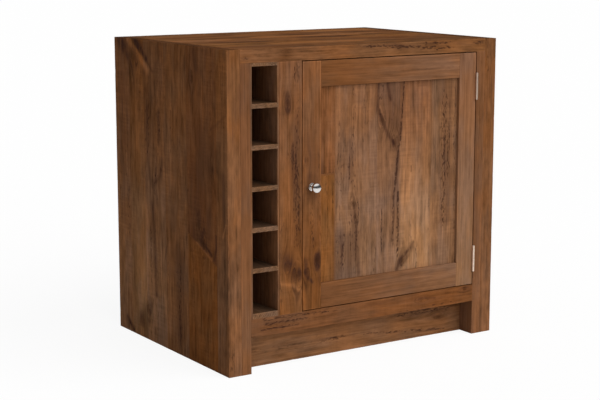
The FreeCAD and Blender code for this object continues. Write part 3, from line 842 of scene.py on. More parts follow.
@dataclass(frozen=True)
class Flame:
    """A soft dark line in the figure of the wood, or a light one where dark is negative.

    The path holds places along and across the grain. They and the width are in millimetres.
    """

    path: tuple[tuple[float, float], ...]
    width: float
    dark: float
    side: Side = Side.LOW_FACE

    def bands(self) -> tuple[Band, Band]:
        """Finds where the line needs closer grid lines.

        Returns:
            The stretch along and the stretch across the grain, each as low, high and spacing.
        """
        reach = 1.5 * self.width * MM
        step = max(0.5 * self.width, 2.2) * MM
        along, across = ((min(places) * MM - reach, max(places) * MM + reach) for places in zip(*self.path))
        return (*along, 1.6 * step), (*across, step)

    def shade(self, along: np.ndarray, across: np.ndarray) -> np.ndarray:
        """Share of the line's tone over an array of points.

        It is e to the minus square of the distance to the nearest stretch of the path, counted in the width.

        Args:
            along: Places along the grain.
            across: Places across it.

        Returns:
            The share at each point.
        """
        total = np.zeros(np.broadcast(along, across).shape)
        for (run, off), (next_run, next_off) in zip(self.path, self.path[1:]):
            step = np.array([next_run - run, next_off - off]) * MM
            way = ((along - run * MM) * step[0] + (across - off * MM) * step[1]) / (step @ step)
            way = np.clip(way, 0, 1)
            gap = np.hypot(along - run * MM - way * step[0], across - off * MM - way * step[1])
            total = np.maximum(total, np.exp(-np.minimum((gap / (self.width * MM)) ** 2, 50)))
        return self.dark * total


@dataclass(frozen=True)
class Rebate:
    """A stretch of a long corner that is cut away: the corner's number, the cut's two sizes, its ends."""

    corner: int
    across: float
    deep: float
    low: float
    high: float


@dataclass
class Board:
    """A board that stands for a node: a section with worn arrises carried along the grain.

    Point (i, j) lies at station i along the grain and at place j round the section. It moves inwards along
    the section's normal by the end's rounding, the wave that the saw left, the wear of the arris and the
    splits.
    """

    node: str
    finish: Pine
    low: np.ndarray
    high: np.ndarray
    radius: float = 1.4 * MM
    end_radius: float = 0.7 * MM
    wave: float = 0.16 * MM
    wear: float = 0.7 * MM
    coarse: float = 14 * MM
    splits: tuple[Split, ...] = ()
    flames: tuple[Flame, ...] = ()
    rebates: tuple[Rebate, ...] = ()
    name: str = ""

    ARC = np.radians(np.linspace(0, 90, 5))
    THINNING = 0.75
    HAIR = 2e-7
    # Depth of a split at which its painted shade and stain are full.
    FULLY_DARK = 0.5 * MM

    # Radians to a metre, of the saw's wave along and round the board, and of the knocks on its arrises.
    SWELL = ((41, 23), (17, -61))
    KNOCKS = (37, 71, 113, 190)

    def lines(self, start: float, end: float, bands: Sequence[Band]) -> np.ndarray:
        """Places of grid lines from start to end: coarse, and as fine as the closest band asks for.

        Args:
            start: First place.
            end: Last place.
            bands: Stretches with a spacing of their own, each low, high and spacing.

        Returns:
            The places in order, start and end left out.
        """
        count = max(2, int(np.ceil((end - start) / self.coarse)) + 1)
        places = [np.linspace(start, end, count)[1:-1]]
        places += [np.arange(low, high, step) for low, high, step in bands]
        every = np.unique(np.concatenate(places).round(5))
        every = every[(every > start + self.HAIR) & (every < end - self.HAIR)]
        spacing = np.full(len(every), self.coarse)
        for low, high, step in bands:
            inside = (every >= low) & (every <= high)
            spacing[inside] = np.minimum(spacing[inside], step)
        kept, last = [], start
        for place, step in zip(every, spacing):
            if place - last > self.THINNING * step:
                kept.append(place)
                last = place
        return np.array(kept)

    def section(self) -> tuple[np.ndarray, np.ndarray, np.ndarray, np.ndarray]:
        """Walks round the board's section, corner, side, corner, with arcs of five points at the corners.

        Returns:
            Places across and through the board, outward normals, and each point's side, or 4 and more for a
            corner.
        """
        width, depth = self.finish.width.value, self.finish.depth.value
        box = np.array([[self.low[width], self.high[width]], [self.low[depth], self.high[depth]]])
        runs = ((0, 0, 1), (1, 1, 1), (0, 1, -1), (1, 0, -1))
        places, normals, sides = [], [], []
        for number, (axis, fixed, way) in enumerate(runs):
            turn = math.radians(180 + 90 * number)
            middle = np.array([box[0, int(number in (1, 2))], box[1, int(number in (2, 3))]])
            inward = np.array([1 if number in (0, 3) else -1, 1 if number in (0, 1) else -1])
            arc = np.stack([np.cos(turn + self.ARC), np.sin(turn + self.ARC)], 1)
            places.append(middle + inward * self.radius + arc * self.radius)
            normals.append(arc)
            sides.append(np.full(len(arc), 4 + number))
            bands = [mark.bands()[1] for mark in (*self.splits, *self.flames) if mark.side.value == number]
            run = self.lines(box[axis, 0] + self.radius, box[axis, 1] - self.radius, bands)[::way]
            side = np.empty((len(run), 2))
            side[:, axis] = run
            side[:, 1 - axis] = box[1 - axis, fixed]
            outward = np.zeros((len(run), 2))
            outward[:, 1 - axis] = 1 if fixed else -1
            places.append(side)
            normals.append(outward)
            sides.append(np.full(len(run), number))
        places = np.concatenate(places)
        return places[:, 0], places[:, 1], np.concatenate(normals), np.concatenate(sides)

    def stations(self) -> tuple[np.ndarray, np.ndarray]:
        """Places along the grain, with a quarter round at each end.

        Returns:
            The places, and how far the section draws in at each.
        """
        start, end = self.low[self.finish.grain.value], self.high[self.finish.grain.value]
        bands = [mark.bands()[0] for mark in (*self.splits, *self.flames)]
        run = self.lines(start + self.end_radius, end - self.end_radius, bands)
        steps = [edge + sign * self.HAIR for cut in self.rebates for edge in (cut.low, cut.high)
                 for sign in (-1, 1)]
        run = np.sort(np.concatenate([run, steps]))
        bend = self.end_radius * (1 - np.sin(self.ARC))
        draw = self.end_radius * (1 - np.cos(self.ARC))
        along = np.concatenate([start + draw, run, (end - draw)[::-1]])
        return along, np.concatenate([bend, np.zeros(len(run)), bend[::-1]])

    def cut_rebates(self, along: np.ndarray, across: np.ndarray, deep: np.ndarray, sides: np.ndarray) -> None:
        """Moves the points that lie in a rebate onto its two faces, in place.

        Args:
            along: Stations along the grain.
            across: Places across, one row a station.
            deep: Places through the board.
            sides: The side of each place in the section.
        """
        width, depth = self.finish.width.value, self.finish.depth.value
        for cut in self.rebates:
            rows = ((along > cut.low) & (along < cut.high))[:, None]
            high_side, high_face = cut.corner in (1, 2), cut.corner in (2, 3)
            edge = self.high[width] - cut.across if high_side else self.low[width] + cut.across
            ledge = self.high[depth] - cut.deep if high_face else self.low[depth] + cut.deep
            beyond = across > edge if high_side else across < edge
            before = deep > ledge if high_face else deep < ledge
            inside = rows & beyond & before
            face, rim = (sides == (2 if high_face else 0)), (sides == (1 if high_side else 3))
            arc = sides == 4 + cut.corner
            order = np.zeros(len(sides))
            order[arc] = np.arange(arc.sum())
            first = order < 2 if cut.corner in (1, 3) else order > 2
            across[inside & (face | (arc & (first | (order == 2))))] = edge
            deep[inside & (rim | (arc & (~first | (order == 2))))] = ledge

    def build(self) -> bpy.types.Object:
        """Makes the board's mesh and lets it stand for its node.

        Returns:
            The piece.
        """
        finish = self.finish
        across, deep, normals, sides = self.section()
        along, bend = self.stations()
        chance = np.random.default_rng(int(finish.seed * 1000) + 7)
        phase = chance.uniform(0, 2 * math.pi, 8)
        run, round_way = along[:, None], (across + 1.7 * deep)[None, :]
        swell = math.prod(np.sin(run * pace + round_way * turn + shift)
                          for (pace, turn), shift in zip(self.SWELL, phase))
        inset = bend[:, None] + self.wave * (0.5 + 0.5 * swell)
        knocks = sum(np.sin(run * rate + shift) for rate, shift in zip(self.KNOCKS, phase[2:]))
        knocks = knocks / len(self.KNOCKS)
        inset = inset + (sides >= 4)[None, :] * self.wear * np.clip(knocks, 0, 1) ** 2
        opening, soiled, figure = (np.zeros_like(inset) for _ in range(3))

        def find(side: Side) -> tuple[np.ndarray, np.ndarray]:
            """Which points lie on a side, and their places across it."""
            place = across if side in (Side.LOW_FACE, Side.HIGH_FACE) else deep
            return (sides == side.value)[None, :], place[None, :]

        for split in self.splits:
            mask, place = find(split.side)
            opening = np.maximum(opening, mask * split.opening(run, place))
            soiled = np.maximum(soiled, mask * split.soiling(run, place))
        for flame in self.flames:
            mask, place = find(flame.side)
            shade = mask * flame.shade(run, place)
            figure = np.where(np.abs(shade) > np.abs(figure), shade, figure)
        inset = inset + opening
        wide = across[None, :] - normals[None, :, 0] * inset
        thick = deep[None, :] - normals[None, :, 1] * inset
        self.cut_rebates(along, wide, thick, sides)
        points = np.empty((*wide.shape, 3))
        points[..., finish.grain.value] = run
        points[..., finish.width.value] = wide
        points[..., finish.depth.value] = thick
        count, around = wide.size, len(sides)
        faces = [*ring_faces(wide.shape), list(range(around)), list(range(count - around, count))]
        marks = {"split": np.clip(opening / self.FULLY_DARK, 0, 1), "soiled": soiled, "figure": figure}
        piece = new_piece(self.name or f"{self.node}_wood", points.reshape(-1, 3), faces, marks=marks)
        settle(piece, self.node, finish.dress(f"{self.node}_pine", self.low, self.high))
        return piece


def turned(name: str, outline: Sequence[tuple[float, float]], centre: Sequence[float], axis: Axis,
           way: int = 1, around: int = 64) -> bpy.types.Object:
    """Turns a half outline about an axis: radius times cosine and sine of the angle, height along the axis.

    Args:
        name: The piece's name.
        outline: Radius and height of each point, from one pole to the other.
        centre: Where height zero lies.
        axis: The axis that it turns about.
        way: 1 if the height runs with the axis, -1 against it.
        around: Points in a full turn.

    Returns:
        The piece.
    """
    radius, height = np.array(outline).T
    angle = np.linspace(0, 2 * math.pi, around, endpoint=False)
    points = np.empty((len(radius), around, 3))
    first, second = axis.others
    points[..., axis.value] = centre[axis.value] + way * height[:, None]
    points[..., first] = centre[first] + radius[:, None] * np.cos(angle)
    points[..., second] = centre[second] + radius[:, None] * np.sin(angle)
    return new_piece(name, points.reshape(-1, 3), ring_faces(points.shape[:-1]), sharp=32.0)


def arc(centre: tuple[float, float], size: tuple[float, float], start: float, end: float,
        count: int = 9) -> list[tuple[float, float]]:
    """Points on an ellipse's arc: the centre plus each half size times the angle's cosine or sine.

    Args:
        centre: Middle of the ellipse.
        size: Its two half sizes.
        start: First angle in degrees.
        end: Last angle.
        count: Points on the arc.

    Returns:
        The points.
    """
    angle = np.radians(np.linspace(start, end, count))
    return list(zip(centre[0] + size[0] * np.cos(angle), centre[1] + size[1] * np.sin(angle)))


def drawn(*lines: tuple[tuple[tuple[float, float], ...], float, float],
          side: Side = Side.LOW_FACE) -> tuple[Flame, ...]:
    """Makes the flames of one side from rows of path, width and darkness."""
    return tuple(Flame(path, width, dark, side) for path, width, dark in lines)


RUSTIC = Pine(Axis.Z, Axis.Y)
UMBER = stain(122, 80, 50)
WALNUT = stain(115, 75, 48)
DRIFT = stain(128, 92, 67)
CHESTNUT = stain(119, 75, 42)
AMBER = stain(131, 86, 50)

# Straight-grained, planed boards of the frames.
PLAIN = {"sawn": 0.1, "lively": 0.55}

# Edges of boards that meet their neighbours flush.
FLUSH = {"radius": 0.6 * MM, "end_radius": 0.4 * MM, "wear": 0.25 * MM}

# Depth and width of the recess for a hinge's leaf.
LEAF_RECESS = (1.6 * MM, 16 * MM)


def between_shoulders(node: str, axis: Axis, tenon: float) -> tuple[np.ndarray, np.ndarray]:
    """Corners of a node without the tenon or tongue at each of its ends.

    Args:
        node: The node.
        axis: The axis that its grain runs along.
        tenon: Length of the tenon.

    Returns:
        The lowest and the highest corner.
    """
    low, high = corners(node)
    low[axis.value] += tenon
    high[axis.value] -= tenon
    return low, high


def leaf_recesses(kind: str, corner: int) -> tuple[Rebate, ...]:
    """Recesses for one kind of leaf of both hinges, in one corner of a board."""
    leaves = (corners(f"{place}_hinge_{kind}_leaf") for place in ("lower", "upper"))
    return tuple(Rebate(corner, *LEAF_RECESS, float(low[2]), float(high[2])) for low, high in leaves)


@dataclass
class Carcass:
    """The gables, top, front frame and plinth."""

    shoulder: float = 15 * MM
    back_rebate: tuple[float, float] = (10 * MM, 12 * MM)
    rebate_rise: tuple[float, float] = (100 * MM, 844 * MM)

    def build(self) -> None:
        """Builds every board of the carcass that shows on the outside."""
        self.gables()
        self.top()
        self.front_frame()

    def gables(self) -> None:
        """Builds the two thick sides, glued up from planks, with the rebate for the back."""
        base = replace(RUSTIC, depth=Axis.X, low_tone=stain(124, 85, 58), high_tone=stain(121, 78, 46),
                       streaks=0.85, specks=0.5, sawn=0.9, lively=1.3)
        across, deep = self.back_rebate
        for node, corner, (pine, splits, flames) in (("left_gable", 2, self.left_wood(base)),
                                                     ("right_gable", 1, self.right_wood(base))):
            rebate = Rebate(corner, deep, across, *self.rebate_rise)
            Board(node, pine, *corners(node), radius=1.0 * MM, wear=0.5 * MM, splits=splits, flames=flames,
                  rebates=(rebate,)).build()

    def left_wood(self, base: Pine) -> tuple[Pine, tuple[Split, ...], tuple[Flame, ...]]:
        """Wood of the left gable, whose front plank is of two lengths with a slanted end joint.

        Args:
            base: What both gables share.

        Returns:
            The finish, the splits and the flames.
        """
        planks = (Plank(-0.250, stain(120, 76, 46), stain(113, 72, 44), 0.292, stain(119, 74, 39), 0.6,
                        slant=0.42),
                  Plank(-0.090, stain(126, 87, 59), stain(115, 75, 46)),
                  Plank(0.037, stain(136, 99, 72), stain(117, 76, 47)),
                  Plank(0.160, stain(132, 95, 65), CHESTNUT),
                  Plank(0.250, stain(136, 96, 67), WALNUT))
        knots = (Knot(0.341, -0.177, 0.013, 0.9), Knot(0.395, -0.150, 0.010, 0.5),
                 Knot(0.092, 0.149, 0.013, 0.7), Knot(0.838, 0.212, 0.022, 0.55),
                 Knot(0.513, 0.062, 0.006, 0.7), Knot(0.790, -0.120, 0.009, 0.5))
        splits = (Split(0.560, 0.690, 0.136, spread=9 * MM, count=20, seed=3),
                  Split(0.590, 0.680, 0.071, spread=7 * MM, count=14, seed=4),
                  Split(0.180, 0.350, 0.131, spread=5 * MM, count=20, seed=5),
                  Split(0.027, 0.262, -0.042, spread=9 * MM, count=44, seed=6),
                  Split(0.300, 0.430, 0.268, spread=6 * MM, count=14, seed=7),
                  Split(0.430, 0.520, 0.100, lean=-0.2, spread=5 * MM, count=12, seed=8))
        return replace(base, planks=planks, knots=knots, seed=0.21), splits, self.left_figure()

    @staticmethod
    def left_figure() -> tuple[Flame, ...]:
        """Draws the figure of the left gable.

        Returns:
            Its flames.
        """
        # Two dark swirls at the upper back, each thinner as it runs down, with a light line between them.
        swirls = drawn((((866, 310), (845, 282)), 24, 1.2), (((845, 282), (818, 256)), 14, 0.9),
                       (((818, 256), (785, 226)), 8, 0.5), (((868, 253), (831, 196), (787, 135)), 11, -1.3),
                       (((868, 209), (846, 176)), 15, 1.4), (((846, 176), (818, 142)), 10, 1.15),
                       (((818, 142), (785, 104)), 5, 0.5), (((838, 58), (790, 94)), 8, 0.4))
        # Soft dark and light patches.
        patches = drawn((((855, -135), (815, -145)), 14, 0.6), (((530, -140), (410, -150)), 42, 0.6),
                        (((640, -165), (560, -190)), 30, 0.4), (((540, -285), (400, -290)), 10, 0.55),
                        (((630, 300), (570, 290)), 28, 0.4), (((700, -300), (655, -220)), 4, 0.45),
                        (((690, 0), (500, 10)), 26, -0.35), (((300, 20), (60, 30)), 18, -0.4),
                        (((560, 305), (330, 290)), 16, 0.4), (((780, -60), (690, -70)), 22, -0.3),
                        (((780, 190), (560, 205)), 14, -0.35), (((760, 300), (690, 300)), 24, 0.35))
        # Dark lines along the columns of splits, and the pale plank behind them.
        columns = drawn((((701, 142), (537, 144)), 4, 0.6), (((673, 77), (588, 76)), 5, 0.55),
                        (((541, 55), (494, 66), (461, 112)), 8, 0.6),
                        (((537, 142), (479, 129), (458, 115)), 8, 0.5),
                        (((411, 116), (305, 108), (146, 101)), 10, 0.95),
                        (((390, 176), (122, 180)), 30, -0.95), (((284, -36), (60, -42)), 30, 0.5),
                        (((284, -62), (120, -60)), 7, 0.5))
        # Curves over the knot near the floor, and dark marks beside it.
        foot = drawn((((59, 193), (45, 190)), 14, 1.1),
                     (((125, 170), (85, 158), (73, 146), (85, 134), (125, 122)), 3, 0.6),
                     (((115, 160), (92, 152), (85, 146), (92, 140), (115, 132)), 2.5, 0.7),
                     (((38, 289), (9, 250)), 9, 1.2), (((40, 111), (30, 108)), 9, 0.5))
        # Stain and pale slivers along the end joint.
        joint = drawn((((440, -120), (360, -125)), 22, 0.5), (((420, -150), (372, -165)), 22, 0.9),
                      (((430, -205), (365, -205)), 16, 0.45), (((358, -148), (338, -188)), 8, 1.0),
                      (((338, -188), (318, -222)), 4.5, 1.2), (((340, -140), (306, -221)), 4, -0.9),
                      (((374, -246), (339, -246), (307, -234)), 5, 0.95),
                      (((413, -298), (376, -283)), 3, -0.8))
        return (*swirls, *patches, *columns, *foot, *joint)

    @staticmethod
    def right_wood(base: Pine) -> tuple[Pine, tuple[Split, ...], tuple[Flame, ...]]:
        """Wood of the right gable, whose outer face is its high one.

        Args:
            base: What both gables share.

        Returns:
            The finish, the splits and the flames.
        """
        planks = (Plank(-0.180, CHESTNUT, UMBER), Plank(-0.050, DRIFT, UMBER), Plank(0.100, WALNUT, CHESTNUT),
                  Plank(0.230, UMBER, DRIFT))
        knots = (Knot(0.610, -0.110, 0.012, 0.8), Knot(0.250, 0.170, 0.014, 0.7),
                 Knot(0.720, 0.270, 0.008, 0.6))
        column = {"side": Side.HIGH_FACE, "spread": 7 * MM, "count": 24}
        splits = tuple(Split(low, low + 0.16, place, seed=seed, **column)
                       for low, place, seed in ((0.48, 0.03, 9), (0.14, -0.12, 10), (0.30, 0.29, 11)))
        flames = drawn((((790, -250), (740, -190), (700, -175)), 10, 0.8), (((560, 40), (380, 46)), 8, 0.6),
                       (((300, 120), (250, 165), (210, 180)), 9, 0.8), (((640, 230), (420, 224)), 14, -0.5),
                       (((180, -60), (60, -66)), 10, 0.6), side=Side.HIGH_FACE)
        return replace(base, planks=planks, knots=knots, seed=0.83), splits, flames

    def top(self) -> None:
        """Builds the thick top between the gables, with its split front edge."""
        planks = (Plank(-0.190, AMBER, UMBER), Plank(-0.060, UMBER, AMBER), Plank(0.080, AMBER, UMBER),
                  Plank(0.215, stain(126, 84, 52), AMBER))
        knots = (Knot(-0.240, -0.120, 0.012, 0.7), Knot(0.100, 0.020, 0.014, 0.8),
                 Knot(0.300, 0.150, 0.010, 0.7), Knot(-0.100, 0.270, 0.011, 0.6),
                 Knot(0.210, -0.235, 0.009, 0.6))
        edge = {"side": Side.LOW_EDGE, "width": 1.4 * MM}
        splits = (Split(-0.030, 0.120, 0.8625, spread=4 * MM, count=26, lean=-0.03, seed=12, **edge),
                  Split(0.090, 0.290, 0.8535, spread=5 * MM, count=40, lean=-0.045, seed=13, **edge),
                  Split(0.190, 0.280, 0.8640, spread=4 * MM, count=18, length=6 * MM, seed=14, **edge),
                  Split(-0.398, -0.386, 0.845, spread=4 * MM, count=7, length=5 * MM, seed=15, **edge),
                  Split(0.370, 0.400, 0.860, spread=6 * MM, count=10, length=6 * MM, seed=16, **edge),
                  Split(0.020, 0.260, 0.030, side=Side.HIGH_FACE, spread=9 * MM, count=34, seed=17),
                  Split(-0.300, -0.060, -0.062, side=Side.HIGH_FACE, spread=8 * MM, count=30, seed=18))
        pine = replace(RUSTIC, grain=Axis.X, depth=Axis.Z, planks=planks, knots=knots, seed=0.47, streaks=0.8,
                       high_tone=stain(117, 78, 48), low_tone=UMBER, specks=0.5, sawn=0.5, lively=1.5)
        flames = drawn((((-330, -40), (-190, -66)), 22, 1.0), (((20, 142), (110, 134)), 20, 0.9),
                       (((0, 30), (150, 10)), 24, 0.9), (((250, 60), (370, 45)), 20, 0.8),
                       (((-120, 90), (300, 100)), 24, -0.9), (((-380, 180), (-150, 205)), 28, 0.8),
                       (((-200, -150), (60, -170)), 26, -0.9), (((120, -190), (330, -200)), 18, 0.55),
                       (((-400, 60), (-250, 50)), 28, -0.8), (((160, 250), (380, 240)), 22, -0.8),
                       (((-60, -90), (240, -110)), 16, 0.7), (((-380, -230), (-180, -240)), 22, 0.4),
                       (((40, 200), (300, 190)), 18, 0.7), (((-300, 120), (-120, 125)), 20, 0.7),
                       side=Side.HIGH_FACE)
        low, high = between_shoulders("top_board", Axis.X, self.shoulder)
        Board("top_board", pine, low, high, **FLUSH, splits=splits, flames=flames).build()

    def front_frame(self) -> None:
        """Builds the posts, the middle stile, the bottom rail and the plinth."""
        cuts = leaf_recesses("frame", 0)
        posts = (("left_front_post", 0.33, stain(122, 83, 56), stain(112, 75, 51), ()),
                 ("right_front_post", 0.59, stain(122, 83, 57), stain(117, 79, 53), cuts))
        for node, seed, low_tone, high_tone, rebates in posts:
            pine = replace(RUSTIC, low_tone=low_tone, high_tone=high_tone, seed=seed, streaks=0.35,
                           specks=0.2, **PLAIN)
            Board(node, pine, *corners(node), rebates=rebates, **FLUSH).build()
        self.middle_stile()
        self.bottom_rail()
        self.plinth()

    def middle_stile(self) -> None:
        """Builds the stile between rack and door, with its rough column and dark knots."""
        knots = (Knot(0.723, -0.264, 0.008, 0.75), Knot(0.252, -0.236, 0.017, 0.8),
                 Knot(0.283, -0.268, 0.010, 0.5))
        # Its arrises carry a stronger painted highlight.
        pine = replace(RUSTIC, low_tone=stain(120, 77, 44), high_tone=stain(120, 80, 53), seed=0.12,
                       streaks=0.7, worn=0.25, specks=0.55, knots=knots)
        splits = (Split(0.770, 0.825, -0.241, spread=4 * MM, count=10, seed=20),
                  Split(0.480, 0.610, -0.240, lean=-0.16, spread=11 * MM, count=58, seed=21),
                  Split(0.600, 0.720, -0.233, spread=6 * MM, count=12, soil=0.5, seed=19),
                  Split(0.340, 0.490, -0.233, spread=11 * MM, count=54, seed=22))
        flames = drawn((((690, -234), (530, -240), (340, -232)), 12, 0.35),
                       (((650, -275), (420, -272)), 10, -0.4), (((745, -266), (705, -262)), 11, 1.15),
                       (((303, -270), (268, -244), (258, -222)), 19, 1.2),
                       (((285, -284), (270, -255)), 10, 0.8),
                       (((235, -285), (228, -250), (210, -222)), 5, -0.9))
        low, high = between_shoulders("mid_stile", Axis.Z, self.shoulder)
        Board("mid_stile", pine, low, high, **FLUSH, splits=splits, flames=flames).build()

    def bottom_rail(self) -> None:
        """Builds the rail over the toe space, rough at its left end."""
        rows = ((-0.346, -0.185, 0.143, 26, 23), (-0.340, -0.200, 0.131, 24, 24),
                (-0.350, -0.230, 0.117, 18, 25), (-0.200, -0.120, 0.140, 9, 26))
        splits = tuple(Split(start, end, height, spread=3 * MM, count=count, length=11 * MM, seed=seed)
                       for start, end, height, count, seed in rows)
        knots = (Knot(0.190, 0.129, 0.008, 0.6), Knot(0.351, 0.141, 0.006, 0.7))
        pine = replace(RUSTIC, grain=Axis.X, low_tone=stain(112, 74, 48), high_tone=stain(115, 72, 41),
                       seed=0.71, streaks=0.6, specks=0.55, knots=knots)
        flames = drawn((((120, 127), (205, 126)), 6, -0.5), (((206, 131), (240, 128)), 5, 0.5))
        low, high = between_shoulders("bottom_rail", Axis.X, self.shoulder)
        Board("bottom_rail", pine, low, high, **FLUSH, splits=splits, flames=flames).build()

    @staticmethod
    def plinth() -> None:
        """Builds the board at the back of the toe space."""
        pine = replace(RUSTIC, grain=Axis.X, low_tone=stain(128, 90, 62), high_tone=stain(129, 88, 58),
                       seed=0.93, streaks=0.7, knots=(Knot(0.300, 0.055, 0.009, 0.6),))
        splits = (Split(-0.120, -0.036, 0.041, lean=0.06, spread=4 * MM, count=16, seed=27),
                  Split(0.145, 0.335, 0.077, spread=6 * MM, count=30, seed=28),
                  Split(0.031, 0.310, 0.026, lean=-0.09, spread=3 * MM, count=36, seed=29))
        Board("plinth_board", pine, *corners("plinth_board"), splits=splits).build()


@dataclass
class Inside:
    """The boards behind the front, which keep their shape: back, floor, partition, shelf and rack."""

    inner_low: Colour = stain(126, 86, 56)
    inner_high: Colour = stain(132, 90, 59)
    rack_low: Colour = stain(143, 106, 79)
    rack_high: Colour = stain(144, 107, 80)
    wall_tone: Colour = stain(117, 82, 58)
    # Painted light on the rack walls behind their front edges.
    painted_wall_light: float = 0.22

    def dress(self) -> None:
        """Gives every board inside its own piece of pine."""
        inner = Pine(Axis.Z, Axis.Y, self.inner_low, self.inner_high, streaks=0.45, specks=0.25)
        # The rack's wood carries painted shade behind its front, standing for the shade inside the slots.
        rack = Pine(Axis.Z, Axis.X, self.rack_low, self.rack_high, streaks=0.4, specks=0.2, painted_depth_shading=0.7)
        for number in range(1, 7):
            low, high = corners(f"back_board_{number}")
            knots = (Knot(0.2 + 0.09 * number, float(low[0] + 0.05), 0.010, 0.7),
                     Knot(0.78 - 0.07 * number, float(low[0] + 0.10), 0.007, 0.6))
            self.finish(f"back_board_{number}", replace(inner, knots=knots, seed=0.17 * number))
        lying = {"cupboard_floor": 0.31, "cupboard_shelf": 0.64}
        for node, seed in lying.items():
            knots = (Knot(-0.08, -0.11, 0.011, 0.6), Knot(0.22, 0.14, 0.009, 0.6))
            planks = tuple(Plank(place, self.inner_low, self.inner_high) for place in (-0.13, 0.02, 0.18))
            lain = replace(inner, grain=Axis.X, depth=Axis.Z, knots=knots, planks=planks, seed=seed)
            self.finish(node, lain)
        planks = tuple(Plank(place, self.inner_high, self.inner_low) for place in (-0.14, 0.03, 0.19))
        knots = (Knot(0.34, -0.05, 0.010, 0.6), Knot(0.66, 0.11, 0.012, 0.6))
        self.finish("partition", replace(inner, depth=Axis.X, planks=planks, knots=knots, seed=0.52))
        for node, seed in (("left_cleat", 0.4), ("right_cleat", 0.45), ("shelf_left_batten", 0.7),
                           ("shelf_right_batten", 0.75)):
            self.finish(node, replace(inner, grain=Axis.Y, depth=Axis.Z, seed=seed))
        self.finish("rear_bearer", replace(inner, grain=Axis.X, seed=0.81))
        self.finish("door_stop", replace(inner, seed=0.88))
        # The rack walls are painted lighter behind their front instead, as light inside the slots.
        for node, seed in (("rack_left_wall", 0.07), ("rack_right_wall", 0.27)):
            self.finish(node, replace(rack, seed=seed, low_tone=self.wall_tone, high_tone=self.wall_tone,
                                      painted_depth_shading=-self.painted_wall_light))
        self.finish("rack_back", replace(rack, depth=Axis.Y, seed=0.38, painted_depth_shading=0.0))
        lying = ["rack_roof", "rack_floor", *(f"rack_divider_{number}" for number in range(1, 6))]
        for number, node in enumerate(lying):
            self.finish(node, replace(rack, grain=Axis.Y, depth=Axis.Z, seed=0.09 * number + 0.02))

    @staticmethod
    def finish(node: str, pine: Pine) -> None:
        """Finishes one node in a piece of pine of its own."""
        coat(node, pine.dress(f"{node}_pine", *corners(node)))


